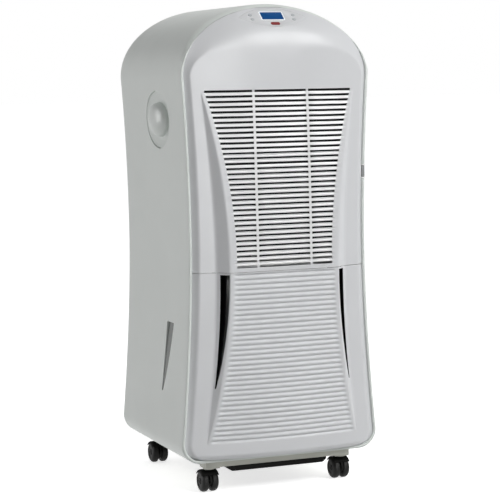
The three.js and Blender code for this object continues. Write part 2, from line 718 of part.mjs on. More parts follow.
function buildBucketFront() {
  const rows = [54.8, 56, 58.5, 63, 70, FRONT.fieldBottom, 110, 145, 180, 220, 260, 300, FRONT.seam - GAP];
  const webs = [-60, 60].map((x) => box(x - 1.5, x + 1.5, -142.5, TANK.front - GAP, 70, 320));
  const slot = alongY(fingerOutline(0), -200, -100);
  return cutBy(joined(frontShell(rows), ...webs), slot, mirroredX(slot));
}

function buildFingerPocket(side) {
  const outer = alongY(fingerOutline(2.4), -136.8, TANK.front - GAP);
  const inner = alongY(fingerOutline(0.9), -150, TANK.front - 2);
  const pocket = outer.subtract(inner);
  return side > 0 ? pocket : mirroredX(pocket);
}

function buildFloat() {
  const body = alongZ(roundedRectangle(-22, 22, -62, -26, 8), 268, 286, 3);
  const arms = [-28, 28].map((x) => box(x - 1.5, x + 1.5, -48, -2, 283, 297));
  const tie = box(-29, 29, -40, -30, 283, 286);
  const hole = bar(2 + GAP, -50, 50, 'x', 10).translate([0, TANK.rear - 15, 294]);
  return cutBy(joined(body, ...arms, tie), hole);
}

function buildBucket() {
  add('bucket_tank', buildTank(), FINISH.tank);
  add('bucket_front', buildBucketFront(), FINISH.whitePanel);
  add('finger_pocket_left', buildFingerPocket(-1), FINISH.blackPlastic);
  add('finger_pocket_right', buildFingerPocket(1), FINISH.blackPlastic);
  add('float', buildFloat(), FINISH.foam);
  add('float_pin', bar(2, -37, 37, 'x', 8).translate([0, TANK.rear - 15, 294]), FINISH.steel);
}

// ---------------------------------------------------------------- inner sheet metal and air path

function buildBay() {
  const wallBack = BAY.wallFront + BAY.sheet;
  const top = BAY.shelfBottom + BAY.sheet;
  const section = outline([
    [BAY.wallFront, BASE.top + GAP], [wallBack, BASE.top + GAP], [wallBack, top], [-112, top],
    [-112, BAY.shelfBottom], [BAY.wallFront, BAY.shelfBottom],
  ]);
  const spoutHole = bar(7, 320, 350, 'z').translate([0, -60, 0]);
  add('bay_partition', cutBy(alongX(section, -132, 132), spoutHole), FINISH.steel);
  add('compressor_deck', box(-115, 115, wallBack + 1, 142, BASE.top + GAP, BASE.top + 2.3), FINISH.steel);
}

function buildDripTray() {
  const tray = box(-116, 116, -110, -20, 335.4, 347);
  const hollow = box(-114, 114, -108, -22, 337.4, 360);
  const spout = turned([[3.5, 0], [5, 0], [5, 12], [3.5, 12], [3.5, 0]], 'z').translate([0, -60, 325]);
  const drain = bar(3.5, 320, 345, 'z').translate([0, -60, 0]);
  return joined(cutBy(joined(tray, bar(5, 325, 337, 'z').translate([0, -60, 0])), hollow, drain), spout);
}

/** A finned coil: one block of fins with return bends standing out at its right-hand end. */
function buildCoil(y0, y1, bends) {
  const middle = (y0 + y1) / 2;
  const spread = (COIL.top - COIL.bottom) / bends;
  let coil = box(-COIL.half, COIL.half, y0, y1, COIL.bottom, COIL.top);
  for (let i = 0; i < bends; i += 1) {
    const z = COIL.bottom + spread * (i + 0.5);
    const path = new THREE.QuadraticBezierCurve3(
      new THREE.Vector3(COIL.half - 3, middle, z - 9),
      new THREE.Vector3(COIL.half + 22, middle, z),
      new THREE.Vector3(COIL.half - 3, middle, z + 9),
    );
    coil = coil.add(tube(path, 3.5, 4));
  }
  return coil;
}

/** Round tube along a curve. */
function tube(path, radius, steps, sides = 6) {
  const section = new THREE.Shape();
  for (let i = 0; i < sides; i += 1) {
    const turn = (2 * Math.PI * i) / sides;
    section[i === 0 ? 'moveTo' : 'lineTo'](radius * Math.cos(turn), radius * Math.sin(turn));
  }
  return solid(new THREE.ExtrudeGeometry(section, { extrudePath: path, steps, bevelEnabled: false }));
}

function pipe(points, radius, steps) {
  const path = new THREE.CatmullRomCurve3(points.map(([x, y, z]) => new THREE.Vector3(x, y, z)));
  return tube(path, radius, steps);
}

function buildRefrigeration() {
  add('evaporator_coil', buildCoil(-105, -70, 5), FINISH.fins);
  add('condenser_coil', buildCoil(-60, -32, 5), FINISH.fins);
  add('drip_tray', buildDripTray(), FINISH.foam);

  const shell = turned([[0, 70], [44, 74], [50, 88], [50, 240], [42, 260], [0, 268]], 'z', 16);
  const feet = alongZ(roundedRectangle(-56, 56, -52, 52, 14), 68, 72, 3);
  const places = [[-44, -40], [44, -40], [0, 42]];
  const footHoles = places.map(([x, y]) => bar(5, 60, 80, 'z', 8).translate([x, y, 0]));
  const compressor = cutBy(joined(shell, feet), ...footHoles);
  add('compressor', compressor.translate([-42, 78, 0]), FINISH.blackPaint);
  const grommet = turned([[0, 62.7], [9, 62.7], [9, 67.6], [4.6, 67.6], [4.6, 74], [0, 74]], 'z', 8);
  places.forEach(([x, y], i) => {
    add(`compressor_grommet_${i + 1}`, grommet.translate([x - 42, y + 78, 0]), FINISH.rubber);
  });
  const canister = turned([[0, 78], [12, 80], [18, 90], [18, 176], [12, 187], [0, 190]], 'z', 12);
  add('suction_accumulator', canister.translate([36, 104, 0]), FINISH.blackPaint);

  const suction = [[COIL.half + 1.2, -88, 389.5], [122, -88, 389.5], [127, -62, 388], [127, -20, 380],
    [124, 30, 350], [100, 80, 290], [60, 104, 240], [36, 104, 215], [36, 104, 190.5]];
  add('suction_tube', pipe(suction, 4, 20), FINISH.copper);
  const discharge = [[-42, 78, 268.5], [-42, 78, 286], [-70, 78, 310], [-112, 70, 320], [-124, 40, 350],
    [-124, -10, 400], [-122, -40, 520], [-116, -46, 568], [-COIL.half - 1.2, -46, 570]];
  add('discharge_tube', pipe(discharge, 3, 20), FINISH.copper);
  const capillary = [[-COIL.half - 1.2, -46, 366], [-118, -46, 362], [-124, -60, 380], [-124, -75, 420],
    [-122, -86, 390], [-116, -88, 366], [-COIL.half - 1.2, -88, 362]];
  add('capillary_tube', pipe(capillary, 1.6, 18), FINISH.copper);
}

function buildFan(parent) {
  const inner = [];
  const outer = [];
  const steps = 16;
  const start = THREE.MathUtils.degToRad(75);
  const sweep = THREE.MathUtils.degToRad(285);
  const top = 590;
  for (let i = 0; i <= steps; i += 1) {
    const turn = start + sweep * (i / steps);
    const radius = FAN.scrollRadius + FAN.growth * (i / steps);
    inner.push([radius * Math.cos(turn), FAN.z + radius * Math.sin(turn)]);
    outer.push([(radius + FAN.sheet) * Math.cos(turn), FAN.z + (radius + FAN.sheet) * Math.sin(turn)]);
  }
  const lipX = inner[0][0];
  const farX = FAN.scrollRadius + FAN.growth;
  const outerShape = outline([...outer, [farX + FAN.sheet, top], [lipX - FAN.sheet, top]]);
  const innerShape = outline([...inner, [farX, top + 10], [lipX, top + 10]]);
  const housing = cutBy(
    alongY(outerShape, FAN.inner, FAN.outer),
    alongY(innerShape, FAN.inner + FAN.sheet, FAN.outer - FAN.sheet),
    bar(FAN.wheelRadius - 10, FAN.inner - 5, FAN.inner + 10, 'y', 20).translate([0, 0, FAN.z]),
    bar(9, FAN.outer - 10, FAN.outer + 5, 'y', 12).translate([0, 0, FAN.z]),
  );
  add('fan_scroll', housing, FINISH.blackPlastic, parent);

  const front = FAN.inner + FAN.sheet + 4;
  const back = FAN.outer - FAN.sheet - 6;
  const hubPlate = bar(FAN.wheelRadius, back - 3, back, 'y', 20);
  const ring = turned([[64, front], [FAN.wheelRadius, front], [FAN.wheelRadius, front + 4], [64, front + 4],
    [64, front]], 'y', 20);
  const boss = bar(10, back - 14, back - 1, 'y', 10);
  let wheel = joined(hubPlate, ring, boss);
  const blades = 16;
  for (let i = 0; i < blades; i += 1) {
    const blade = box(64.5, 71, front + 1, back - 1, -0.9, 0.9);
    wheel = wheel.add(blade.rotate([0, (360 * i) / blades, 0]));
  }
  const bore = bar(4, front - 5, back + 5, 'y', 10);
  add('fan_impeller', wheel.subtract(bore).translate([0, 0, FAN.z]), FINISH.greyKey, parent);
  const shaft = bar(4 - GAP, back - 16, FAN.outer + 5, 'y', 8);
  add('fan_shaft', shaft.translate([0, 0, FAN.z]), FINISH.steel, parent);
  const motor = turned([[0, 72], [24, 72], [34, 78], [34, 112], [28, 118], [0, 118]], 'y', 16);
  add('fan_motor', motor.translate([0, 0, FAN.z]), FINISH.blackPaint, parent);
  const strap = cutBy(box(-46, 46, 119, 121.5, FAN.z - 14, FAN.z + 14));
  const legs = [-46, 43.5].map((x) => box(x, x + 2.5, FAN.outer + GAP, 121, FAN.z - 14, FAN.z + 14));
  add('motor_bracket', joined(strap, ...legs), FINISH.steel, parent);
}

function buildServices() {
  add('run_capacitor', bar(19, BASE.top + 2.6, 140, 'z', 14).translate([84, 46, 0]), FINISH.steel);
  const reedBack = BAY.wallFront + BAY.sheet + GAP;
  add('reed_switch', box(-9, 9, reedBack, reedBack + 6, 276, 300), FINISH.blackPlastic);

  const gland = turned([[3.8, -14], [6, -14], [6, -1], [12, -1], [12, 2.5], [8, 6], [3.8, 6],
    [3.8, -14]], 'y', 12);
  add('cord_gland', gland.translate([GLAND.x, CASING.rearEdge, GLAND.z]), FINISH.blackPlastic);
  const port = turned([[PORT.inner, -22], [PORT.outer - 1, -22], [PORT.outer - 1, -0.7], [15, -0.7],
    [15, 1], [PORT.inner, 1], [PORT.inner, -22]], 'y', 14);
  add('hose_port', port.translate([PORT.x, CASING.rearEdge, PORT.z]), FINISH.greyBase);
  const cap = turned([[0, -9], [PORT.inner - 0.4, -9], [PORT.inner - 0.4, 1.4], [12.5, 1.4], [13, 2.4],
    [12, 5], [0, 5]], 'y', 14);
  add('hose_cap', cap.translate([PORT.x, CASING.rearEdge, PORT.z]), FINISH.greyBase);
}

// ---------------------------------------------------------------- assembly

add('casing_shell', buildCasing(), FINISH.whiteShell);
add('rear_cover', buildRearCover(), FINISH.whiteShell);
add('front_panel', buildFrontPanel(), FINISH.whitePanel);
add('side_grip_left', buildGrip(-1), FINISH.whiteShell);
add('side_grip_right', buildGrip(1), FINISH.whiteShell);
add('sight_window_left', buildSight(-1), FINISH.smoke);
add('sight_window_right', buildSight(1), FINISH.smoke);
buildControls(unit);
buildFilter(unit);
add('base_frame', buildBaseFrame(), FINISH.greyBase);
add('base_pan', buildBasePan(), FINISH.blackPlastic);
buildCasters();
buildBucket();
buildBay();
buildRefrigeration();
buildFan(unit);
buildServices();

export default unit;
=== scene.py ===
"""Looks of a tower dehumidifier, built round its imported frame.

All sizes are in metres in the frame's own axes: +Z up, -Y the front, +X the right-hand side.
"""

import json
import logging
import math
from dataclasses import dataclass
from enum import Enum
from typing import Callable, Sequence

import bmesh
import bpy
from mathutils import Matrix, Vector

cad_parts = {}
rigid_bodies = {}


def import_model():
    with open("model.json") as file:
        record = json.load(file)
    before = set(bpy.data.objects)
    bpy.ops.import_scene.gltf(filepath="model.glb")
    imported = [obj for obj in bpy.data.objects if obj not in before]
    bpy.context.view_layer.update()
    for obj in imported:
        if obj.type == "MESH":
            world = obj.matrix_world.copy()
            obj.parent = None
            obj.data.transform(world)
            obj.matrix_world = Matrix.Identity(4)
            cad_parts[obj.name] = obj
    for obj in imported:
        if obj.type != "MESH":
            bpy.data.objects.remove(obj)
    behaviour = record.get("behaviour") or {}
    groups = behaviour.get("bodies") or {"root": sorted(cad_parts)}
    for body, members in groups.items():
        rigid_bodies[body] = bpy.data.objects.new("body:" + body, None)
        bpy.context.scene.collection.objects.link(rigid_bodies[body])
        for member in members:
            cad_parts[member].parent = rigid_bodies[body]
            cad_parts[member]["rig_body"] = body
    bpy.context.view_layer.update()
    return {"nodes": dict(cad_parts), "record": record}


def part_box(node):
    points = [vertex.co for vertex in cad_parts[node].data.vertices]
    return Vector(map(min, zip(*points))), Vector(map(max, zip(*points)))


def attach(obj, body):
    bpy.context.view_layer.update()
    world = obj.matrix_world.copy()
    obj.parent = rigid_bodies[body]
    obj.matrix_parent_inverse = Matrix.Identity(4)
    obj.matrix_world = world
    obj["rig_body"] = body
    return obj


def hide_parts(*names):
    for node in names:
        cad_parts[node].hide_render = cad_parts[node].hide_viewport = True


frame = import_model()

LOG = logging.getLogger("dehumidifier")

Point2 = tuple[float, float]
Colour = tuple[float, float, float]


# ------------------------------------------------------------------ finishes


class Grain(Enum):
    """Kinds of fine relief that a finish may carry."""

    MOULDED = "moulded"
    BRUSHED = "brushed"
    FINNED = "finned"
    WOVEN = "woven"


@dataclass(frozen=True)
class Finish:
    """One procedural material.

    Attributes:
        name: Material name.
        colour: Base colour, linear.
        roughness: Middle of the roughness range.
        spread: How far roughness strays from its middle.
        metallic: 0 for plastic, 1 for bare metal.
        grain: Kind of fine relief.
        grain_size: Size of one grain or pitch of one line, in metres.
        relief: Strength of the relief.
        mottle: How much the colour strays over larger patches.
        wear: How far edges are lightened.
        coat: Weight of the clear coat.
        glow: Strength of emitted light.
        specular: Strength of the plain reflection.
    """

    name: str
    colour: Colour
    roughness: float = 0.4
    spread: float = 0.06
    metallic: float = 0.0
    grain: Grain = Grain.MOULDED
    grain_size: float = 0.0011
    relief: float = 0.05
    mottle: float = 0.03
    wear: float = 0.08
    coat: float = 0.0
    glow: float = 0.0
    specular: float = 0.5

    def build(self) -> bpy.types.Material:
        """Makes the node material.

        Returns:
            The finished material.
        """
        material = bpy.data.materials.new(self.name)
        material.use_nodes = True
        tree = material.node_tree
        nodes, links = tree.nodes, tree.links
        shader = nodes["Principled BSDF"]
        shader.inputs["Metallic"].default_value = self.metallic
        shader.inputs["Specular IOR Level"].default_value = self.specular
        shader.inputs["Coat Weight"].default_value = self.coat
        shader.inputs["Coat Roughness"].default_value = 0.12
        place = nodes.new("ShaderNodeTexCoord")

        cloud = nodes.new("ShaderNodeTexNoise")
        cloud.inputs["Scale"].default_value = 9.0
        cloud.inputs["Detail"].default_value = 4.0
        links.new(place.outputs["Object"], cloud.inputs["Vector"])
        tint = nodes.new("ShaderNodeMix")
        tint.data_type = "RGBA"
        tint.inputs["A"].default_value = (*[c * (1 - self.mottle) for c in self.colour], 1)
        tint.inputs["B"].default_value = (*[min(1, c * (1 + self.mottle)) for c in self.colour], 1)
        links.new(cloud.outputs["Fac"], tint.inputs["Factor"])

        edge = nodes.new("ShaderNodeNewGeometry")
        ramp = nodes.new("ShaderNodeMapRange")
        ramp.inputs["From Min"].default_value = 0.53
        ramp.inputs["From Max"].default_value = 0.66
        ramp.inputs["To Max"].default_value = self.wear
        links.new(edge.outputs["Pointiness"], ramp.inputs["Value"])
        worn = nodes.new("ShaderNodeMix")
        worn.data_type = "RGBA"
        worn.inputs["B"].default_value = (*[c + (1 - c) * 0.5 for c in self.colour], 1)
        links.new(ramp.outputs["Result"], worn.inputs["Factor"])
        links.new(tint.outputs["Result"], worn.inputs["A"])
        links.new(worn.outputs["Result"], shader.inputs["Base Color"])
        if self.glow:
            links.new(worn.outputs["Result"], shader.inputs["Emission Color"])
            shader.inputs["Emission Strength"].default_value = self.glow

        smear = nodes.new("ShaderNodeTexNoise")
        smear.inputs["Scale"].default_value = 34.0
        smear.inputs["Detail"].default_value = 5.0
        links.new(place.outputs["Object"], smear.inputs["Vector"])
        rough = nodes.new("ShaderNodeMapRange")
        rough.inputs["From Min"].default_value = 0.25
        rough.inputs["From Max"].default_value = 0.75
        rough.inputs["To Min"].default_value = max(0.02, self.roughness - self.spread)
        rough.inputs["To Max"].default_value = min(1.0, self.roughness + self.spread)
        links.new(smear.outputs["Fac"], rough.inputs["Value"])
        links.new(rough.outputs["Result"], shader.inputs["Roughness"])
        if self.relief:
            self._relief(tree, place, shader)
        return material

    def _relief(self, tree: bpy.types.NodeTree, place: bpy.types.Node, shader: bpy.types.Node) -> None:
        """Adds the bump that the grain calls for.

        Args:
            tree: The material's node tree.
            place: Its texture coordinate node.
            shader: Its Principled shader.
        """
        nodes, links = tree.nodes, tree.links
        bump = nodes.new("ShaderNodeBump")
        bump.inputs["Strength"].default_value = self.relief
        bump.inputs["Distance"].default_value = self.grain_size
        if self.grain in (Grain.FINNED, Grain.WOVEN):
            bands = nodes.new("ShaderNodeTexWave")
            bands.wave_type = "BANDS"
            bands.bands_direction = "X"
            bands.inputs["Scale"].default_value = 0.314 / self.grain_size
            links.new(place.outputs["Object"], bands.inputs["Vector"])
            height = bands.outputs["Fac"]
            if self.grain is Grain.WOVEN:
                cross = nodes.new("ShaderNodeTexWave")
                cross.bands_direction = "Z"
                cross.inputs["Scale"].default_value = 0.314 / self.grain_size
                links.new(place.outputs["Object"], cross.inputs["Vector"])
                both = nodes.new("ShaderNodeMath")
                both.operation = "MAXIMUM"
                links.new(height, both.inputs[0])
                links.new(cross.outputs["Fac"], both.inputs[1])
                height = both.outputs["Value"]
            links.new(height, bump.inputs["Height"])
        else:
            stretch = nodes.new("ShaderNodeMapping")
            if self.grain is Grain.BRUSHED:
                stretch.inputs["Scale"].default_value = (0.05, 1.0, 1.0)
            links.new(place.outputs["Object"], stretch.inputs["Vector"])
            noise = nodes.new("ShaderNodeTexNoise")
            noise.inputs["Scale"].default_value = 1.0 / self.grain_size
            noise.inputs["Detail"].default_value = 2.0
            links.new(stretch.outputs["Vector"], noise.inputs["Vector"])
            links.new(noise.outputs["Fac"], bump.inputs["Height"])
        links.new(bump.outputs["Normal"], shader.inputs["Normal"])


FINISHES: dict[str, Finish] = {
    "casing_white": Finish("satin_casing", (0.755, 0.795, 0.765), roughness=0.42, coat=0.12),
    "panel_white": Finish("satin_panel", (0.70, 0.71, 0.725), roughness=0.42, coat=0.12),
    # Sight lens: its dark colour is partly the lens's own smoky tint and partly painted shade of the recess
    # and the dark inside behind it.
    "smoke_window": Finish("smoke_window", (0.12, 0.135, 0.125), roughness=0.22, relief=0.02, coat=0.3),
    "display_glass": Finish("lit_display", (0.003, 0.055, 0.19), roughness=0.3, relief=0.0, mottle=0.3,
                            wear=0.0, glow=0.25, specular=0.15),
    "key_red": Finish("red_key", (0.25, 0.012, 0.012), roughness=0.3, coat=0.3),
    # Whiter copy of the panel finish for the louvre bars: painted highlight where the light catches their
    # faces.
    "louvre_painted_highlight": Finish("louvre_painted_highlight", (0.86, 0.865, 0.87), roughness=0.36, coat=0.2),
    "key_grey": Finish("grey_key", (0.52, 0.54, 0.56), roughness=0.42),
    "circuit_board": Finish("circuit_board", (0.02, 0.12, 0.05), roughness=0.45, mottle=0.2),
    "tab_grey": Finish("tab_grey", (0.25, 0.26, 0.26), roughness=0.48),
    "filter_net": Finish("filter_net", (0.02, 0.021, 0.022), roughness=0.85, grain=Grain.WOVEN,
                         grain_size=0.0016, relief=0.8, wear=0.0),
    "base_grey": Finish("base_grey", (0.56, 0.565, 0.5), roughness=0.5, relief=0.1),
    "black_plastic": Finish("black_plastic", (0.004, 0.004, 0.0035), roughness=0.7, relief=0.1, wear=0.01,
                            specular=0.1),
    "wheel_black": Finish("wheel_black", (0.0055, 0.0055, 0.005), roughness=0.5, relief=0.12, wear=0.02,
                          specular=0.2),
    "tank_plastic": Finish("tank_plastic", (0.46, 0.47, 0.455), roughness=0.38, relief=0.06),
    "float_foam": Finish("float_foam", (0.7, 0.7, 0.66), roughness=0.8, grain_size=0.003, relief=0.35),
    "sheet_steel": Finish("sheet_steel", (0.55, 0.56, 0.57), roughness=0.32, metallic=1.0,
                          grain=Grain.BRUSHED, relief=0.12),
    "coil_fins": Finish("coil_fins", (0.62, 0.64, 0.66), roughness=0.4, metallic=1.0,
                        grain=Grain.FINNED, grain_size=0.0018, relief=0.9),
    "black_paint": Finish("black_paint", (0.015, 0.015, 0.017), roughness=0.28, relief=0.08, coat=0.2),
    "rubber_black": Finish("rubber_black", (0.016, 0.016, 0.016), roughness=0.8, relief=0.2),
    "copper_tube": Finish("copper_tube", (0.72, 0.33, 0.18), roughness=0.3, metallic=1.0,
                          grain=Grain.BRUSHED, relief=0.08),
    "fan_grey": Finish("fan_grey", (0.28, 0.3, 0.31), roughness=0.5),
}
# Bezel round the display, given emission: painted glow, as the bezel has no lamp.
PAINTED_GLOW_BORDER = Finish("display_border", (0.9, 0.93, 0.95), roughness=0.25, coat=0.3, relief=0.0, glow=0.25)


class Dresser:
    """Keeps one built material for each slot and puts it on pieces."""

    def __init__(self) -> None:
        """Builds every material once."""
        self.materials = {slot: finish.build() for slot, finish in FINISHES.items()}
        self.border = PAINTED_GLOW_BORDER.build()
        self.slots = {row["node"]: row["material_slot"] for row in frame["record"]["subparts"]}

    def dress(self, piece: bpy.types.Object, slot: str) -> None:
        """Gives a new piece its slot's material.

        Args:
            piece: The piece.
            slot: A material slot of the record.
        """
        piece.data.materials.clear()
        piece.data.materials.append(self.materials[slot])

    def tone(self, piece: bpy.types.Object, slot: str, where: Callable[[Vector], bool]) -> None:
        """Gives part of a dressed piece a second finish.

        Args:
            piece: The piece.
            slot: Name of the second finish.
            where: Says whether a face's middle is in that part.
        """
        piece.data.materials.append(self.materials[slot])
        for face in piece.data.polygons:
            if where(face.center):
                face.material_index = 1

    def dress_nodes(self) -> None:
        """Gives every CAD node the material of its slot."""
        for name, node in frame["nodes"].items():
            material = self.materials[self.slots[name]]
            if not node.material_slots:
                node.data.materials.append(material)
            for holder in node.material_slots:
                holder.material = material


# ------------------------------------------------------------------ mesh tools


def mm(value: float) -> float:
    """Turns millimetres into metres."""
    return value * 0.001


def smoothstep(value: float) -> float:
    """Eases a value from 0 to 1."""
    held = min(1.0, max(0.0, value))
    return held * held * (3 - 2 * held)


def add_object(name: str, mesh: bpy.types.Mesh) -> bpy.types.Object:
    """Links a new object.

    Args:
        name: The piece's name.
        mesh: Its mesh.

    Returns:
        The linked object.
    """
    piece = bpy.data.objects.new(name, mesh)
    bpy.context.scene.collection.objects.link(piece)
    return piece


def from_faces(name: str, points: Sequence[Vector], faces: Sequence[Sequence[int]]) -> bpy.types.Object:
    """Makes an object from points and faces, with its faces turned outward.

    Args:
        name: The piece's name.
        points: Vertex positions.
        faces: Vertex numbers of each face.

    Returns:
        The new object.
    """
    mesh = bpy.data.meshes.new(name)
    mesh.from_pydata([tuple(p) for p in points], [], [list(f) for f in faces])
    shape = bmesh.new()
    shape.from_mesh(mesh)
    bmesh.ops.remove_doubles(shape, verts=shape.verts, dist=1e-6)
    bmesh.ops.recalc_face_normals(shape, faces=shape.faces)
    shape.to_mesh(mesh)
    shape.free()
    return add_object(name, mesh)


def settle(piece: bpy.types.Object, sharp: float = 35.0) -> bpy.types.Object:
    """Applies a piece's modifiers and shades it smooth up to an angle.

    Args:
        piece: The piece.
        sharp: Angle, in degrees, above which an edge stays sharp.

    Returns:
        The same piece.
    """
    if piece.modifiers:
        graph = bpy.context.evaluated_depsgraph_get()
        mesh = bpy.data.meshes.new_from_object(piece.evaluated_get(graph))
        piece.modifiers.clear()
        piece.data = mesh
    piece.data.shade_smooth()
    piece.data.set_sharp_from_angle(angle=math.radians(sharp))
    return piece


def bevel(piece: bpy.types.Object, width: float, segments: int = 2, angle: float = 40.0) -> None:
    """Rounds a piece's sharp edges.

    Args:
        piece: The piece.
        width: Width of the rounding.
        segments: Faces across it.
        angle: Angle, in degrees, above which an edge is rounded.
    """
    rounding = piece.modifiers.new("edges", "BEVEL")
    rounding.width = width
    rounding.segments = segments
    rounding.limit_method = "ANGLE"
    rounding.angle_limit = math.radians(angle)
    rounding.harden_normals = False


def carve(piece: bpy.types.Object, cutters: Sequence[bpy.types.Object]) -> None:
    """Cuts pieces out of a piece and removes the cutters.

    Args:
        piece: The piece to cut.
        cutters: Closed cutting pieces.
    """
    for cutter in cutters:
        cut = piece.modifiers.new("cut", "BOOLEAN")
        cut.operation = "DIFFERENCE"
        cut.solver = "EXACT"
        cut.object = cutter
    graph = bpy.context.evaluated_depsgraph_get()
    mesh = bpy.data.meshes.new_from_object(piece.evaluated_get(graph))
    piece.modifiers.clear()
    piece.data = mesh
    for cutter in cutters:
        bpy.data.objects.remove(cutter)


def merge(name: str, parts: Sequence[bpy.types.Object]) -> bpy.types.Object:
    """Joins several solids into one piece.

    Args:
        name: Name of the joined piece.
        parts: The solids, which are removed.

    Returns:
        The joined piece.
    """
    shape = bmesh.new()
    for part in parts:
        settle(part)
        part.data.transform(part.matrix_world)
        shape.from_mesh(part.data)
    mesh = bpy.data.meshes.new(name)
    shape.to_mesh(mesh)
    shape.free()
    for part in parts:
        bpy.data.objects.remove(part)
    return add_object(name, mesh)


def rounded(points: Sequence[Point2], radius: float, steps: int = 4) -> list[Point2]:
    """Rounds the corners of a closed outline.

    Args:
        points: The outline's corners.
        radius: How far from each corner its rounding starts.
        steps: Segments in each rounding.

    Returns:
        The rounded outline.
    """
    result: list[Point2] = []
    count = len(points)
    for i in range(count):
        corner = Vector(points[i])
        before = Vector(points[i - 1]) - corner
        after = Vector(points[(i + 1) % count]) - corner
        start = corner + before.normalized() * min(radius, before.length * 0.45)
        end = corner + after.normalized() * min(radius, after.length * 0.45)
        for k in range(steps + 1):
            t = k / steps
            spot = start * (1 - t) ** 2 + corner * 2 * t * (1 - t) + end * t**2
            result.append((spot.x, spot.y))
    return result


def rectangle(x0: float, x1: float, y0: float, y1: float) -> list[Point2]:
    """Gives the corners of a rectangle."""
    return [(x0, y0), (x1, y0), (x1, y1), (x0, y1)]


def prism(name: str, outline: Sequence[Point2], low: float, high: float, seat: Matrix) -> bpy.types.Object:
    """Sweeps a flat outline straight up its own Z axis, then seats it.

    Args:
        name: The piece's name.
        outline: Outline in the seat's X and Y.
        low: Lower end along the seat's Z.
        high: Upper end along the seat's Z.
        seat: Where the outline's frame sits.

    Returns:
        The new solid.
    """
    count = len(outline)
    points = [seat @ Vector((x, y, z)) for z in (low, high) for x, y in outline]
    faces = [list(range(count))[::-1], list(range(count, 2 * count))]
    faces += [[i, (i + 1) % count, count + (i + 1) % count, count + i] for i in range(count)]
    return from_faces(name, points, faces)


def turned(name: str, profile: Sequence[Point2], seat: Matrix, segments: int = 48) -> bpy.types.Object:
    """Turns a profile of (radius, height) about the seat's Z axis.

    Args:
        name: The piece's name.
        profile: The profile, ending on the axis or closing on itself.
        seat: Where the axis sits.
        segments: Segments round the axis.

    Returns:
        The new solid.
    """
    on_axis = profile[0][0] < 1e-7
    points, rings, faces = [], [], []
    for radius, height in profile:
        if radius < 1e-7:
            rings.append([len(points)] * segments)
            points.append(seat @ Vector((0, 0, height)))
            continue
        rings.append(list(range(len(points), len(points) + segments)))
        for k in range(segments):
            turn = 2 * math.pi * k / segments
            points.append(seat @ Vector((radius * math.cos(turn), radius * math.sin(turn), height)))
    pairs = list(zip(rings, rings[1:])) + ([] if on_axis else [(rings[-1], rings[0])])
    for a, b in pairs:
        for k in range(segments):
            n = (k + 1) % segments
            face = list(dict.fromkeys([a[k], a[n], b[n], b[k]]))
            if len(face) > 2:
                faces.append(face)
    return from_faces(name, points, faces)


def facing_x(x: float = 0.0, y: float = 0.0, z: float = 0.0, side: int = 1) -> Matrix:
    """Seat whose Z runs along X, towards the given side, and whose Y runs up."""
    turn = Matrix(((0, 0, side, 0), (side, 0, 0, 0), (0, 1, 0, 0), (0, 0, 0, 1)))
    return Matrix.Translation((x, y, z)) @ turn


def surface(name: str, rows: Sequence[Sequence[Vector]],
            keep: Callable[[int, int], bool]) -> bpy.types.Object:
    """Makes an open sheet of quads from rows of points.

    Args:
        name: The piece's name.
        rows: Rows of points, all of one length.
        keep: Says whether the quad after a row and a column is there.

    Returns:
        The sheet, its front towards -Y.
    """
    width = len(rows[0])
    points = [p for row in rows for p in row]
    faces = []
    for r in range(len(rows) - 1):
        for c in range(width - 1):
            if keep(r, c):
                a = r * width + c
                faces.append([a, a + 1, a + width + 1, a + width])
    mesh = bpy.data.meshes.new(name)
    mesh.from_pydata([tuple(p) for p in points], [], faces)
    shape = bmesh.new()
    shape.from_mesh(mesh)
    loose = [v for v in shape.verts if not v.link_faces]
    bmesh.ops.delete(shape, geom=loose, context="VERTS")
    shape.to_mesh(mesh)
    shape.free()
    return add_object(name, mesh)


def split_faces(piece: bpy.types.Object) -> None:
    """Splits a piece's many-sided faces into triangles.

    Args:
        piece: The piece.
    """
    shape = bmesh.new()
    shape.from_mesh(piece.data)
    bmesh.ops.triangulate(shape, faces=[f for f in shape.faces if len(f.verts) > 4])
    shape.to_mesh(piece.data)
    shape.free()


def thicken(piece: bpy.types.Object, wall: float) -> None:
    """Gives a sheet a wall behind its front face.

    Args:
        piece: The sheet.
        wall: The wall's thickness.
    """
    solid = piece.modifiers.new("wall", "SOLIDIFY")
    solid.thickness = wall
    solid.offset = -1.0
    solid.use_even_offset = True
    solid.thickness_clamp = 1.5


def spread(stops: Sequence[float], counts: Sequence[int]) -> list[float]:
    """Fills the spans between stops with evenly spaced values.

    Args:
        stops: Rising stops.
        counts: Number of spans between each stop and the next.

    Returns:
        All values, the stops among them.
    """
    values = [stops[0]]
    for low, high, count in zip(stops, stops[1:], counts):
        values += [low + (high - low) * (k + 1) / count for k in range(count)]
    return values


def softened(name: str, node: str, width: float, segments: int = 2) -> bpy.types.Object:
    """Makes a piece with rounded edges from a CAD node's shape.

    Args:
        name: The new piece's name.
        node: The CAD node.
        width: Width of the edge rounding.
        segments: Faces across it.

    Returns:
        The new piece.
    """
    mesh = frame["nodes"][node].data.copy()
    shape = bmesh.new()
    shape.from_mesh(mesh)
    bmesh.ops.remove_doubles(shape, verts=shape.verts, dist=2e-6)
    bmesh.ops.dissolve_limit(shape, angle_limit=math.radians(1.0), verts=shape.verts, edges=shape.edges)
    shape.to_mesh(mesh)
    shape.free()
    piece = add_object(name, mesh)
    bevel(piece, width, segments, 30.0)
    return settle(piece)


# ------------------------------------------------------------------ the machine's form


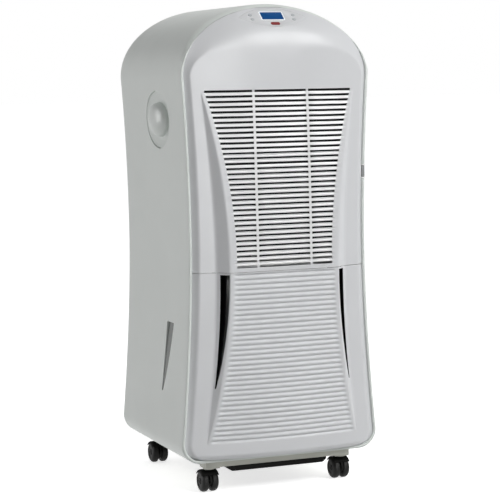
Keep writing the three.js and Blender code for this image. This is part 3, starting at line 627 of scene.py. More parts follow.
@dataclass(frozen=True)
class CasingForm:
    """Waisted outline of the casing, shared by every piece that meets it.

    Attributes:
        bottom: Height of its lower edge.
        top: Height of its crown.
        front: Depth of its front rim.
        rear: Depth of its rear edge.
        hip: Half width at its widest, above its bottom corners.
        hip_height: Height of that width.
        waist: Half width at its narrowest.
        waist_height: Height of that width.
        shoulder: Half width where the crown starts.
        shoulder_height: Height of that width.
        corner: Radius of its bottom corners.
        foot: Half width between its turned-in feet.
    """

    bottom: float
    top: float
    front: float
    rear: float
    hip: float
    hip_height: float = 0.078
    waist: float = 0.141
    waist_height: float = 0.370
    shoulder: float = 0.1495
    shoulder_height: float = 0.617
    corner: float = 0.029
    foot: float = 0.118

    @classmethod
    def from_frame(cls) -> "CasingForm":
        """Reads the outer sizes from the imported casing."""
        low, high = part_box("casing_shell")
        return cls(bottom=low.z, top=high.z, front=low.y, rear=high.y, hip=high.x)

    def side_half(self, z: float) -> float:
        """Half width between hips and shoulders at a height."""
        if z >= self.waist_height:
            up = (z - self.waist_height) / (self.shoulder_height - self.waist_height)
            return self.waist + (self.shoulder - self.waist) * up**2
        down = (self.waist_height - z) / (self.waist_height - self.hip_height)
        return self.waist + (self.hip - self.waist) * down**1.72

    def half_width(self, z: float, inset: float = 0.0) -> float:
        """Half width of the outline, set in by an inset, at any height."""
        if z > self.shoulder_height:
            up = (z - self.shoulder_height) / (self.top - self.shoulder_height - inset)
            return (self.shoulder - inset) * math.sqrt(max(0.0, 1 - up**2))
        if z < self.hip_height:
            radius = self.corner - inset
            drop = self.hip_height - z
            return self.hip - self.corner + math.sqrt(max(0.0, radius**2 - drop**2))
        return self.side_half(z) - inset

    def right_edge(self, corner_steps: int = 10, side_steps: int = 60, crown_steps: int = 44) -> list[tuple]:
        """Stations up the right-hand edge.

        Args:
            corner_steps: Stations round the bottom corner.
            side_steps: Stations up the side.
            crown_steps: Stations over the right half of the crown.

        Returns:
            For each station, its X and Z and its outward X and Z.
        """
        stations = []
        for i in range(corner_steps):
            turn = -math.pi / 2 * (1 - i / corner_steps)
            c, s = math.cos(turn), math.sin(turn)
            x = self.hip - self.corner + self.corner * c
            stations.append((x, self.hip_height + self.corner * s, c, s))
        for i in range(side_steps):
            z = self.hip_height + (self.shoulder_height - self.hip_height) * i / side_steps
            rise = 1e-4
            slope = (self.side_half(z + rise) - self.side_half(z)) / rise
            ease = smoothstep(i / 3) * smoothstep((side_steps - i) / 3)
            out = Vector((1.0, -slope * ease)).normalized()
            stations.append((self.side_half(z), z, out.x, out.y))
        rise = self.top - self.shoulder_height
        for i in range(crown_steps + 1):
            turn = math.pi / 2 * i / crown_steps
            c, s = math.cos(turn), math.sin(turn)
            out = Vector((c / self.shoulder, s / rise)).normalized()
            stations.append((self.shoulder * c, self.shoulder_height + rise * s, out.x, out.y))
        return stations


@dataclass(frozen=True)
class FrontForm:
    """Bowed, bulging front surface that the upper panel and the bucket share.

    Attributes:
        casing: The casing's outline.
        seam: Height of the joint between panel and bucket.
        edge: Depth of the surface's edge up the sides.
        margin: Depth of the plain margin at the middle.
        bow: Radius of the margin in plan.
        inset: Gap from the casing's outline to the surface's edge.
        bevel: Width of the bevel down the sides.
        crown_start: Height where the edge starts to set back.
        crown_setback: How far it is set back at the crown.
        crown_roll: Extra length of the rolled edge over the crown.
        crown_power: Extra steepness of that roll.
        field_top: Height where the raised field ends above.
        field_bottom: Height where it ends below.
        field_half: Its half width at the seam.
        field_spread: How much wider it is at its ends.
        facet: Width of its sloped sides at the seam.
        bulge: How far it stands out at the middle of the seam.
        edge_bulge: How much more it stands out at its sides.
    """

    casing: CasingForm
    seam: float
    edge: float = -0.129
    margin: float = -0.1493
    bow: float = 0.650
    inset: float = 0.00504
    bevel: float = 0.0085
    crown_start: float = 0.640
    crown_setback: float = 0.0245
    crown_roll: float = 0.1095
    crown_power: float = 3.2
    field_top: float = 0.594
    field_bottom: float = 0.078
    field_half: float = 0.086
    field_spread: float = 0.034
    facet: float = 0.0155
    bulge: float = 0.008
    edge_bulge: float = 0.0045

    def edge_depth(self, z: float) -> float:
        """Depth of the surface's edge at a height."""
        over = max(0.0, z - self.crown_start) / (self.casing.top - self.crown_start)
        return self.edge + self.crown_setback * over**2

    def rise(self, z: float) -> float:
        """How far the field stands out at a height, from 0 to 1."""
        return 1 - self._away(z) ** 2

    def field(self, z: float) -> float:
        """Half width of the field at a height."""
        return self.field_half + self.field_spread * self._away(z) ** 2

    def facet_edge(self, z: float) -> float:
        """Half width of the field with its sloped sides at a height."""
        return self.field(z) + self.facet * self.rise(z) + mm(1.0)

    def _away(self, z: float) -> float:
        """Distance from the seam as a share of the field's reach."""
        reach = self.field_top - self.seam if z > self.seam else self.seam - self.field_bottom
        return min(1.0, abs(z - self.seam) / reach)

    def depth(self, x: float, z: float) -> float:
        """Depth of the plain front surface.

        Args:
            x: Place across the machine.
            z: Height.

        Returns:
            The surface's Y.
        """
        across = abs(x)
        bow = across**2 / (2 * self.bow)
        rise = self.rise(z)
        ramp = min(1.0, max(0.0, (across - self.field(z)) / (self.facet * rise + mm(1.0))))
        blend = 1 - (0.8 * ramp + 0.2 * smoothstep(ramp))
        in_field = min(1.0, across / self.field(z)) ** 2
        raised = rise * blend * (self.bulge + self.edge_bulge * in_field)
        form = self.casing
        edge_x = form.shoulder - self.inset
        edge_z = form.top - form.shoulder_height - self.inset
        turn, rim_height = 0.0, z
        inward = form.half_width(z, self.inset) - across
        if z > form.shoulder_height:
            up = (z - form.shoulder_height) / edge_z
            turn = math.atan2(up, across / edge_x)
            ray = math.hypot(edge_x * math.cos(turn), edge_z * math.sin(turn))
            inward = (1 - math.hypot(across / edge_x, up)) * ray
            rim_height = form.shoulder_height + edge_z * math.sin(turn)
        crown = math.sin(turn) ** 2
        reach = self.bevel + self.crown_roll * crown
        fall = max(0.0, 1 - max(0.0, inward) / reach) ** (1 + self.crown_power * crown)
        drop = self.edge_depth(rim_height) - (self.margin + bow)
        lip = max(0.0, 1 - (z - form.bottom - self.inset) / mm(8)) ** 2
        return self.margin + bow - raised + drop * fall + mm(5) * lip


@dataclass
class CasingShell:
    """Wrap-round casing with its rolled front rim and openings.

    Attributes:
        form: The casing's outline.
        front: The front surface, whose edge the rim follows over the crown.
        wall: Wall thickness.
        rim_width: Width of the rolled rim.
        rim_depth: How deep the rim runs back.
        bead: Radius of the rim's bead up the sides.
        bead_lead: How far the bead stands in front of the front surface's edge.
        crown_bead: Radius of the bead over the crown.
        crown_roll: Radius of the roll that the rim grows into over the crown.
        rear_round: Rounding of the rear edge.
        sight_depth: How deep the level-sight recess is cut.
        grip_stretch: Width of a side grip as a share of its height.
        grip_lean: How far a side grip leans with the casing's side, in degrees.
        grip_turn: How far its front edge is turned inward, in degrees.
    """

    form: CasingForm
    front: FrontForm
    wall: float = 0.003
    rim_width: float = 0.005
    rim_depth: float = 0.007
    bead: float = 0.0022
    bead_lead: float = 0.003
    crown_bead: float = 0.0002
    crown_roll: float = 0.026
    rear_round: float = 0.0022
    sight_depth: float = 0.0085
    grip_stretch: float = 1.22
    grip_lean: float = 2.9
    grip_turn: float = 2.4

    def section(self, z: float) -> list[Point2]:
        """Closed section of the wall as (inset, depth) pairs.

        Args:
            z: Height of the station, which sets the rim's place over the crown.

        Returns:
            The section's points.
        """
        fade_in = self.front.crown_start - mm(20)
        over = smoothstep((z - fade_in) / mm(70))
        nose = self.front.edge_depth(z) - self.bead_lead * (1 - over)
        lip = self.bead * (1 - over) + self.crown_bead * over
        flat = self.rim_width - lip
        roll = flat + self.crown_roll * over
        sweep = math.acos(1 - flat / roll)
        start = nose + roll * math.sin(sweep)
        rear = self.form.rear
        points: list[Point2] = []
        for k in range(5):
            turn = math.pi / 2 * k / 4
            inset = self.rear_round * (1 - math.sin(turn))
            points.append((inset, rear - self.rear_round * (1 - math.cos(turn))))
        flank = rear - self.rear_round - start
        spans = 44
        for k in range(1, spans):
            points.append((0.0, rear - self.rear_round - flank * k / spans))
        for k in range(11):
            turn = sweep * k / 10
            points.append((roll * (1 - math.cos(turn)), start - roll * math.sin(turn)))
        for k in range(1, 6):
            turn = math.pi / 2 * k / 5
            points.append((flat + lip * math.sin(turn), nose + lip * (1 - math.cos(turn))))
        points.append((self.rim_width, nose + self.rim_depth))
        points.append((self.wall, nose + self.rim_depth + mm(1)))
        inside = rear - nose - self.rim_depth
        for k in range(1, 12):
            points.append((self.wall, nose + self.rim_depth + inside * k / 12))
        points.append((self.wall, rear))
        return points

    def shell(self) -> bpy.types.Object:
        """Sweeps the section round the outline from foot to foot.

        Returns:
            The uncut shell.
        """
        right = self.form.right_edge()
        foot = (self.form.foot, self.form.bottom, 0.0, -1.0)
        left = [(-x, z, -nx, nz) for x, z, nx, nz in reversed([foot, *right[:-1]])]
        stations = [foot, *right, *left]
        points: list[Vector] = []
        faces: list[list[int]] = []
        for x, z, nx, nz in stations:
            points += [Vector((x - nx * inset, y, z - nz * inset)) for inset, y in self.section(z)]
        count = len(self.section(0))
        for s in range(len(stations) - 1):
            for k in range(count):
                a, b = s * count + k, s * count + (k + 1) % count
                faces.append([a, b, b + count, a + count])
        last = (len(stations) - 1) * count
        faces.append(list(range(count)))
        faces.append(list(range(last, last + count))[::-1])
        return from_faces("casing_wrap", points, faces)

    def sill(self) -> bpy.types.Object:
        """Makes the rim's straight run under the bucket front.

        Returns:
            The sill.
        """
        front, bottom = self.form.front, self.form.bottom
        corners = rectangle(front, front + self.rim_depth, bottom, bottom + self.rim_width)
        section = rounded(corners, self.bead, 5)
        return prism("casing_sill", section, -self.form.foot, self.form.foot, facing_x())

    def sight_outline(self, grow: float) -> list[Point2]:
        """Outline of the level sight in Y and Z: straight behind, curved in front.

        Args:
            grow: How far the outline is grown.

        Returns:
            The outline's points.
        """
        low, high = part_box("sight_window_left")
        tip_gap, lean, bulge, foot_width = mm(1), mm(13), mm(13), mm(5)
        tip = Vector((high.y - tip_gap + grow, low.z - grow))
        back = Vector((high.y - lean + grow, high.z + grow))
        front = Vector((low.y - grow, high.z + grow))
        bend = Vector((low.y + bulge - grow, (low.z + high.z) / 2))
        foot = tip + Vector((-foot_width - grow, 0))
        steps = 14
        curve = [front * (1 - t) ** 2 + bend * 2 * t * (1 - t) + foot * t**2
                 for t in (k / steps for k in range(steps + 1))]
        return [tuple(p) for p in (tip, back, *curve)]

    def build(self, dresser: Dresser) -> None:
        """Builds, cuts and dresses the casing.

        Args:
            dresser: Gives the finishes.
        """
        shell = self.shell()
        inside, outside = 0.120, 0.170
        cutters = []
        for side in (-1, 1):
            node = "side_grip_right" if side > 0 else "side_grip_left"
            low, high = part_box(node)
            radius = (high.z - low.z) / 2 + mm(0.25)
            reach = outside - inside
            oval = Matrix.Diagonal(((high.y - low.y) / (high.z - low.z), 1, 1, 1))
            seat = facing_x(side * inside, (low.y + high.y) / 2, (low.z + high.z) / 2, side) @ oval
            cutters.append(turned("cut", [(0, 0), (radius, 0), (radius, reach), (0, reach)], seat, 96))
            outline = self.sight_outline(mm(0.3))
            cutters.append(prism("cut", outline, side * inside, side * outside, facing_x()))
        low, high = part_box("filter_frame")
        gap = mm(1)
        slot = rectangle(high.y - mm(5.2), high.y + mm(0.5), low.z - gap, high.z + gap)
        cutters.append(prism("cut", rounded(slot, mm(1.5)), inside, outside, facing_x()))
        tab_low, tab_high = self.tab_heights()
        notch = rectangle(self.form.front - mm(10), high.y - mm(3), tab_low - gap, tab_high + gap)
        cutters.append(prism("cut", rounded(notch, mm(2)), self.form.waist - mm(6), outside, facing_x()))
        carve(shell, cutters)
        casing = merge("casing_wrap", [shell, self.sill()])
        settle(casing, 38)
        casing.name = "casing_wrap"
        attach(casing, "chassis")
        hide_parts("casing_shell")
        dresser.dress(casing, "casing_white")
        for side, word in ((-1, "left"), (1, "right")):
            self.build_sight(dresser, side, word)
            self.build_grip(dresser, side, word)
        LOG.info("casing built")

    @staticmethod
    def tab_heights() -> Point2:
        """Lower and upper edge of the filter's pull tab."""
        low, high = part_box("filter_frame")
        middle = (low.z + high.z) / 2 - mm(0.5)
        half_tab = mm(9)
        return middle - half_tab, middle + half_tab

    def build_sight(self, dresser: Dresser, side: int, word: str) -> None:
        """Builds one smoky level sight, sloping in from its rear edge, dark partly from its tint and partly
        from painted shade of the recess.

        Args:
            dresser: Gives the finishes.
            side: -1 for the left, 1 for the right.
            word: The side's name.
        """
        outline = self.sight_outline(-mm(0.1))
        rear = max(y for y, _ in outline)
        front = min(y for y, _ in outline)
        thickness, rear_depth, front_depth = mm(1.6), mm(0.8), self.sight_depth * 0.75
        points = []
        for layer in (0.0, thickness):
            for y, z in outline:
                share = (rear - y) / (rear - front)
                depth = rear_depth + front_depth * share
                points.append(Vector((side * (self.form.side_half(z) - depth - layer), y, z)))
        count = len(outline)
        faces = [list(range(count)), list(range(count, 2 * count))[::-1]]
        faces += [[i, count + i, count + (i + 1) % count, (i + 1) % count] for i in range(count)]
        sight = from_faces(f"sight_lens_{word}", points, faces)
        split_faces(sight)
        settle(sight, 30)
        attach(sight, "chassis")
        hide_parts(f"sight_window_{word}")
        dresser.dress(sight, "smoke_window")

    def build_grip(self, dresser: Dresser, side: int, word: str) -> None:
        """Builds one side grip: a domed boss in a shallow dish.

        Args:
            dresser: Gives the finishes.
            side: -1 for the left, 1 for the right.
            word: The side's name.
        """
        low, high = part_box(f"side_grip_{word}")
        top, dome_radius, trough = mm(11), mm(26), mm(-4.6)
        dome = [(0.0, top)]
        for k in range(1, 17):
            turn = math.pi / 2 * k / 16
            height = trough + (top - trough) * math.cos(turn) ** 0.85
            dome.append((dome_radius * math.sin(turn) ** 0.95, height))
        dish = [(mm(27.2), mm(-4.9)), (mm(30), mm(-4.7)), (mm(34), mm(-4.2)), (mm(38), mm(-3.6)),
                (mm(41.5), mm(-2.9)), (mm(42.6), mm(-2.5)), (mm(43), mm(-2.8))]
        back = [(mm(43), mm(-5)), (mm(36), mm(-7)), (0.0, mm(-7))]
        z = (low.z + high.z) / 2
        lean = Matrix.Rotation(side * math.radians(self.grip_lean), 4, "Y")
        tilt = lean @ Matrix.Rotation(-side * math.radians(self.grip_turn), 4, "Z")
        oval = Matrix.Diagonal((self.grip_stretch, 1, 1, 1))
        place = Matrix.Translation((side * (self.form.side_half(z) - mm(0.3)), (low.y + high.y) / 2, z))
        seat = place @ tilt @ facing_x(side=side) @ oval
        grip = turned(f"side_grip_form_{word}", dome + dish + back, seat, 96)
        settle(grip, 40)
        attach(grip, "chassis")
        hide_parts(f"side_grip_{word}")
        dresser.dress(grip, "casing_white")


# ------------------------------------------------------------------ front panel and bucket front


@dataclass
class GrillePanel:
    """Upper front panel with its louvred intake.

    Attributes:
        front: The shared front surface.
        rows: Number of slots.
        pitch: Height from one slot to the next.
        top_row: Height of the uppermost slot.
        slot: Height of a slot.
        half_at_seam: Half width of the lowest slot.
        growth: How the half width grows with the square of the row.
        rib: Distance of each vertical rib from the middle.
        rib_width: Width of a rib.
        rib_set: How far a rib lies behind the surface.
        lean: How far a louvre's upper edge leans back.
        lip: How far its lower edge is rounded back.
        lip_share: Share of its height that this rounding takes.
        wall: Wall thickness.
    """

    front: FrontForm
    rows: int = 35
    pitch: float = 0.0075
    top_row: float = 0.5945
    slot: float = 0.0034
    half_at_seam: float = 0.0755
    growth: float = 0.0348e-3
    rib: float = 0.0424
    rib_width: float = 0.0036
    rib_set: float = 0.001
    lean: float = 0.0015
    lip: float = 0.0005
    lip_share: float = 0.3
    wall: float = 0.0028

    @property
    def lowest(self) -> float:
        """Height of the lowest slot."""
        return self.top_row - (self.rows - 1) * self.pitch

    def slot_half(self, z: float) -> float:
        """Half width of a slot at a height."""
        row = max(0.0, min(self.rows - 1.0, (z - self.lowest) / self.pitch))
        return self.half_at_seam + self.growth * row**2

    def columns(self, z: float) -> list[float]:
        """Places across the panel at one height.

        Args:
            z: Height.

        Returns:
            The places, from the left edge to the right.
        """
        form = self.front.casing
        level = min(z, self.front.field_top)
        edge = form.half_width(level, self.front.inset)
        scale = form.half_width(z, self.front.inset) / edge
        stops = [0.0, self.rib - self.rib_width / 2, self.rib + self.rib_width / 2, self.slot_half(level),
                 self.front.field(level), self.front.facet_edge(level), edge - self.front.bevel, edge]
        right = spread(stops, (8, 3, 8, 3, 6, 7, 5))
        return [-x * scale for x in reversed(right[1:])] + [x * scale for x in right]

    def heights(self) -> list[float]:
        """Heights of all rows of points.

        Returns:
            The heights, from the seam to the crown.
        """
        values = spread((self.front.seam + mm(0.3), self.lowest - self.slot / 2), (5,))
        for k in range(self.rows):
            low = self.lowest + k * self.pitch - self.slot / 2
            values += [low + self.slot / 2, low + self.slot]
            if k < self.rows - 1:
                values += [low + self.slot + (self.pitch - self.slot) * t for t in (0.2, 0.4, 0.6, 0.8, 1.0)]
        form = self.front.casing
        values += spread((values[-1], form.shoulder_height), (8,))[1:]
        reach = form.top - form.shoulder_height - self.front.inset
        steps, sweep = 56, math.pi / 2 * 0.9945
        values += [form.shoulder_height + reach * math.sin(sweep * k / steps) for k in range(1, steps + 1)]
        return values

    def louvre(self, x: float, z: float) -> float:
        """Extra depth that gives each louvre its rounded, upward-leaning face.

        Args:
            x: Place across the panel.
            z: Height.

        Returns:
            The extra depth.
        """
        up = (z - self.lowest - self.slot / 2) / self.pitch
        share = (up - math.floor(up)) * self.pitch / (self.pitch - self.slot)
        if not 0 <= up <= self.rows - 1 or abs(x) > self.slot_half(z) + mm(0.1):
            return 0.0
        if abs(abs(x) - self.rib) <= self.rib_width / 2 + mm(0.05):
            return self.rib_set
        if share > 1:
            return 0.0
        return self.lean * share**1.5 + self.lip * max(0.0, self.lip_share - share) / self.lip_share

    def on_louvre(self, spot: Vector) -> bool:
        """Says whether a place is on the louvres, which get the painted highlight finish."""
        on_rows = self.lowest + self.slot / 2 < spot.z < self.top_row - self.slot / 2
        return on_rows and abs(spot.x) < self.slot_half(spot.z)

    def build(self, dresser: Dresser, panel: "ControlPanel") -> None:
        """Builds and dresses the panel.

        Args:
            dresser: Gives the finishes.
            panel: The control panel let into its crown.
        """
        heights = self.heights()
        rows = []
        for z in heights:
            row = []
            for x in self.columns(z):
                y = max(self.front.depth(x, z), panel.plane_depth(z)) + self.louvre(x, z)
                row.append(Vector((x, y, z)))
            rows.append(row)

        def solid(r: int, c: int) -> bool:
            """Says whether the sheet is there, and not one of the slots."""
            z = (heights[r] + heights[r + 1]) / 2
            row = (z - self.lowest) / self.pitch
            if not -0.4 < row < self.rows - 0.6 or abs(row - round(row)) * self.pitch > self.slot / 2:
                return True
            x = abs((rows[r][c].x + rows[r][c + 1].x) / 2)
            on_rib = abs(x - self.rib) < self.rib_width / 2
            return on_rib or x > self.slot_half(z)

        sheet = surface("front_grille_panel", rows, solid)
        thicken(sheet, self.wall)
        settle(sheet)
        carve(sheet, [panel.cutter()])
        bevel(sheet, mm(0.35), 2, 50)
        settle(sheet, 40)
        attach(sheet, "chassis")
        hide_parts("front_panel")
        dresser.dress(sheet, "panel_white")
        # The louvre bars get the whiter finish: painted highlight on the bars.
        dresser.tone(sheet, "louvre_painted_highlight", self.on_louvre)
        LOG.info("front panel built")


@dataclass
class BucketFace:
    """Ribbed bucket front with its two finger slots.

    Attributes:
        front: The shared front surface.
        ridges: Number of grooves.
        pitch: Height from one groove to the next.
        top_groove: Height of the uppermost groove.
        groove: Depth of a groove.
        sharpness: How narrow a groove is beside its ridges.
        half_at_seam: Half width of the ribbing at the top.
        half_spread: How much wider it is at the bottom.
        slot_top: Height of the finger slots' upper end.
        slot_tip: Height of their lower tip.
        slot_inner: Distance of their inner edge from the middle, at the top.
        slot_outer: The same of their outer edge.
        inner_drift: How far the inner edge moves out down to the tip.
        outer_drift: How far the outer edge moves out.
        wall: Wall thickness.
    """

    front: FrontForm
    ridges: int = 34
    pitch: float = 0.00743
    top_groove: float = 0.3269
    groove: float = 0.0026
    sharpness: float = 1.5
    half_at_seam: float = 0.079
    half_spread: float = 0.036
    slot_top: float = 0.3284
    slot_tip: float = 0.161
    slot_inner: float = 0.0871
    slot_outer: float = 0.0983
    inner_drift: float = 0.020
    outer_drift: float = 0.0104
    wall: float = 0.0028

    def groove_depth(self, x: float, z: float) -> float:
        """Depth of the ribbing's grooves.

        Args:
            x: Place across the front.
            z: Height.

        Returns:
            How far the surface is let in.
        """
        below = (self.top_groove - z) / self.pitch
        if not -0.5 < below < self.ridges - 0.5:
            return 0.0
        away = (self.front.seam - z) / (self.front.seam - self.front.field_bottom)
        half = self.half_at_seam + self.half_spread * min(1.0, away) ** 2
        fade = 1 - smoothstep((abs(x) - half + mm(6)) / mm(9))
        wave = 0.5 + 0.5 * math.cos(2 * math.pi * below)
        return self.groove * wave**self.sharpness * fade

    def slot_edges(self, z: float) -> Point2:
        """Distance of a finger slot's inner and outer edge from the middle.

        Args:
            z: Height.

        Returns:
            The two distances, kept inside the sloped side below the tip.
        """
        low, high = self.front.field(z), self.front.facet_edge(z)
        share = (self.slot_top - z) / (self.slot_top - self.slot_tip)
        if share <= 1:
            drift = max(0.0, share) ** 2
            return self.slot_inner + self.inner_drift * drift, self.slot_outer + self.outer_drift * drift
        tip_low = self.front.field(self.slot_tip)
        tip_high = self.front.facet_edge(self.slot_tip)
        inner = (self.slot_inner + self.inner_drift - tip_low) / (tip_high - tip_low)
        outer = (self.slot_outer + self.outer_drift - tip_low) / (tip_high - tip_low)
        return low + (high - low) * inner, low + (high - low) * outer

    def columns(self, z: float) -> list[float]:
        """Places across the front at one height.

        Args:
            z: Height.

        Returns:
            The places, from the left edge to the right.
        """
        edge = self.front.casing.half_width(z, self.front.inset)
        level = max(z, self.front.field_bottom)
        scale = min(1.0, edge / self.front.casing.half_width(level, self.front.inset))
        inner, outer = self.slot_edges(level)
        field = self.front.field(level)
        stops = [0.0, (field - mm(16)) * scale, field * scale, inner * scale, outer * scale,
                 max(outer + mm(0.8), self.front.facet_edge(level)) * scale,
                 edge - self.front.bevel, edge]
        right = spread(stops, (14, 8, 4, 5, 3, 7, 5))
        return [-x for x in reversed(right[1:])] + right

    def heights(self) -> list[float]:
        """Heights of all rows of points.

        Returns:
            The heights, from the lip to the seam.
        """
        bottom = self.front.casing.bottom + self.front.inset + mm(0.1)
        first = self.top_groove - (self.ridges - 0.5) * self.pitch
        values = spread((bottom, bottom + mm(10), first), (12, 6))
        per_ridge = 8
        top = self.top_groove + self.pitch / 2
        values += spread((first, top), (self.ridges * per_ridge,))[1:]
        values += [self.front.seam - mm(0.3)]
        for mark in (self.slot_tip, self.slot_top):
            nearest = min(range(len(values)), key=lambda i: abs(values[i] - mark))
            values[nearest] = mark
        return values

    def build(self, dresser: Dresser) -> None:
        """Builds and dresses the bucket front.

        Args:
            dresser: Gives the finishes.
        """
        heights = self.heights()
        rows = []
        for z in heights:
            across = self.columns(z)
            rows.append([Vector((x, self.front.depth(x, z) + self.groove_depth(x, z), z)) for x in across])

        def solid(r: int, c: int) -> bool:
            """Says whether the sheet is there, and not a finger slot."""
            z = (heights[r] + heights[r + 1]) / 2
            if not self.slot_tip < z < self.slot_top:
                return True
            inner, outer = self.slot_edges(z)
            x = abs((rows[r][c].x + rows[r][c + 1].x) / 2)
            return not inner < x < outer

        sheet = surface("bucket_face", rows, solid)
        thicken(sheet, self.wall)
        settle(sheet)
        bevel(sheet, mm(0.6), 3, 50)
        settle(sheet, 40)
        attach(sheet, "bucket")
        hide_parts("bucket_front")
        dresser.dress(sheet, "panel_white")
        LOG.info("bucket front built")


# ------------------------------------------------------------------ controls


@dataclass
class ControlPanel:
    """Tilted lens-shaped fascia with its display and keys.

    Attributes:
        y: Depth of its middle.
        z: Height of its middle.
        tilt: Its slope above level, in degrees.
        half_width: Half its width.
        half_height: Half its height along the slope.
        thick: Thickness of the fascia.
    """

    y: float = -0.1214
    z: float = 0.7012
    tilt: float = 40.5
    half_width: float = 0.0535
    half_height: float = 0.0205
    thick: float = 0.0025

    def seat(self) -> Matrix:
        """The panel's own frame: Z out of its face, Y up its slope."""
        return Matrix.Translation((0, self.y, self.z)) @ Matrix.Rotation(math.radians(self.tilt), 4, "X")

    def plane_depth(self, z: float) -> float:
        """Depth of the panel's plane at a height, or far in front of it below the panel."""
        if z < self.z - self.half_height:
            return -1.0
        return self.y + (z - self.z) / math.tan(math.radians(self.tilt))

    def lens(self, grow: float, steps: int = 28) -> list[Point2]:
        """Outline of two arcs that meet at left and right.

        Args:
            grow: How far the outline is grown.
            steps: Segments in each arc.

        Returns:
            The outline's points.
        """
        w, h = self.half_width + grow, self.half_height + grow
        radius = (w**2 + h**2) / (2 * h)
        sweep = math.asin(w / radius)
        points = []
        for sign in (1, -1):
            for k in range(steps):
                turn = sign * (sweep - 2 * sweep * k / steps)
                points.append((radius * math.sin(turn), sign * (radius * math.cos(turn) - radius + h)))
        return points

    def cutter(self) -> bpy.types.Object:
        """Cutting piece for the fascia's seat in the front panel."""
        return prism("cut", self.lens(mm(0.35)), -0.012, 0.02, self.seat())

    def build(self, dresser: Dresser) -> None:
        """Builds and dresses the fascia, display and keys.

        Args:
            dresser: Gives the finishes.
        """
        seat = self.seat()
        plate = prism("fascia_plate", self.lens(0.0), -self.thick, 0.0, seat)
        openings = []
        place = {}
        through = mm(10)
        for node in ("display_window", "power_key", *(f"small_key_{i}" for i in range(1, 5))):
            low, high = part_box(node)
            middle = seat.inverted() @ ((low + high) / 2)
            place[node] = middle
            hole = (high.x - low.x) / 2 + mm(0.25)
            if node.startswith("small"):
                spot = seat @ Matrix.Translation((middle.x, middle.y, 0))
                profile = [(0, -through), (hole, -through), (hole, through), (0, through)]
                openings.append(turned("cut", profile, spot, 40))
        pill = self.block(place["power_key"], mm(7.25), mm(3.25), mm(3.2))
        openings.append(prism("cut", pill, -through, through, seat))
        window = place["display_window"]
        screen = self.block(window, mm(18.7), mm(9.95), mm(1.2))
        openings.append(prism("cut", screen, -through, through, seat))
        carve(plate, openings)
        bevel(plate, mm(0.3), 2, 40)
        settle(plate)
        flange_low, flange_high = -self.thick - mm(1.8), -self.thick - mm(0.05)
        flange = prism("fascia_flange", self.lens(mm(1.8)), flange_low, flange_high, seat)
        fascia = merge("fascia", [plate, flange])
        settle(fascia)
        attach(fascia, "chassis")
        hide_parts("control_fascia")
        dresser.dress(fascia, "panel_white")

        outer = self.block(window, mm(18.5), mm(9.75), mm(1.1))
        inner = self.block(window, mm(17.2), mm(8.5), mm(0.6))
        border = prism("display_border", outer, -self.thick, mm(0.15), seat)
        carve(border, [prism("cut", inner, -mm(0.5), through, seat)])
        bevel(border, mm(0.15))
        settle(border)
        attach(border, "chassis")
        # The bezel's finish carries painted glow.
        border.data.materials.clear()
        border.data.materials.append(dresser.border)
        screen = self.block(window, mm(17.1), mm(8.4), mm(0.6))
        screen_piece = prism("display_screen", screen, -mm(0.45), mm(0.02), seat)
        bevel(screen_piece, mm(0.12))
        settle(screen_piece)
        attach(screen_piece, "chassis")
        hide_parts("display_window")
        dresser.dress(screen_piece, "display_glass")

        power = prism("power_cap", self.block(place["power_key"], mm(7.0), mm(3.0), mm(2.95)),
                      -mm(5), mm(0.7), seat)
        bevel(power, mm(0.5), 4)
        settle(power)
        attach(power, "power_key")
        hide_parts("power_key")
        dresser.dress(power, "key_red")
        for i in range(1, 5):
            spot = place[f"small_key_{i}"]
            cap = [(0, -mm(5)), (mm(2.8), -mm(5)), (mm(2.8), mm(0.2)), (mm(2.6), mm(0.55)),
                   (mm(2.1), mm(0.7)), (mm(1.2), mm(0.6)), (0, mm(0.55))]
            key = turned(f"small_key_cap_{i}", cap, seat @ Matrix.Translation((spot.x, spot.y, 0)), 40)
            settle(key, 60)
            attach(key, f"small_key_{i}")
            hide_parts(f"small_key_{i}")
            dresser.dress(key, "key_grey")
        LOG.info("controls built")

    @staticmethod
    def block(middle: Vector, half_x: float, half_y: float, radius: float) -> list[Point2]:
        """Rounded rectangle about a place on the panel.

        Args:
            middle: The place.
            half_x: Half its width.
            half_y: Half its height.
            radius: Its corner rounding.

        Returns:
            The outline's points.
        """
        corners = rectangle(middle.x - half_x, middle.x + half_x, middle.y - half_y, middle.y + half_y)
        return rounded(corners, radius * 1.2, 6)


# ------------------------------------------------------------------ base and casters


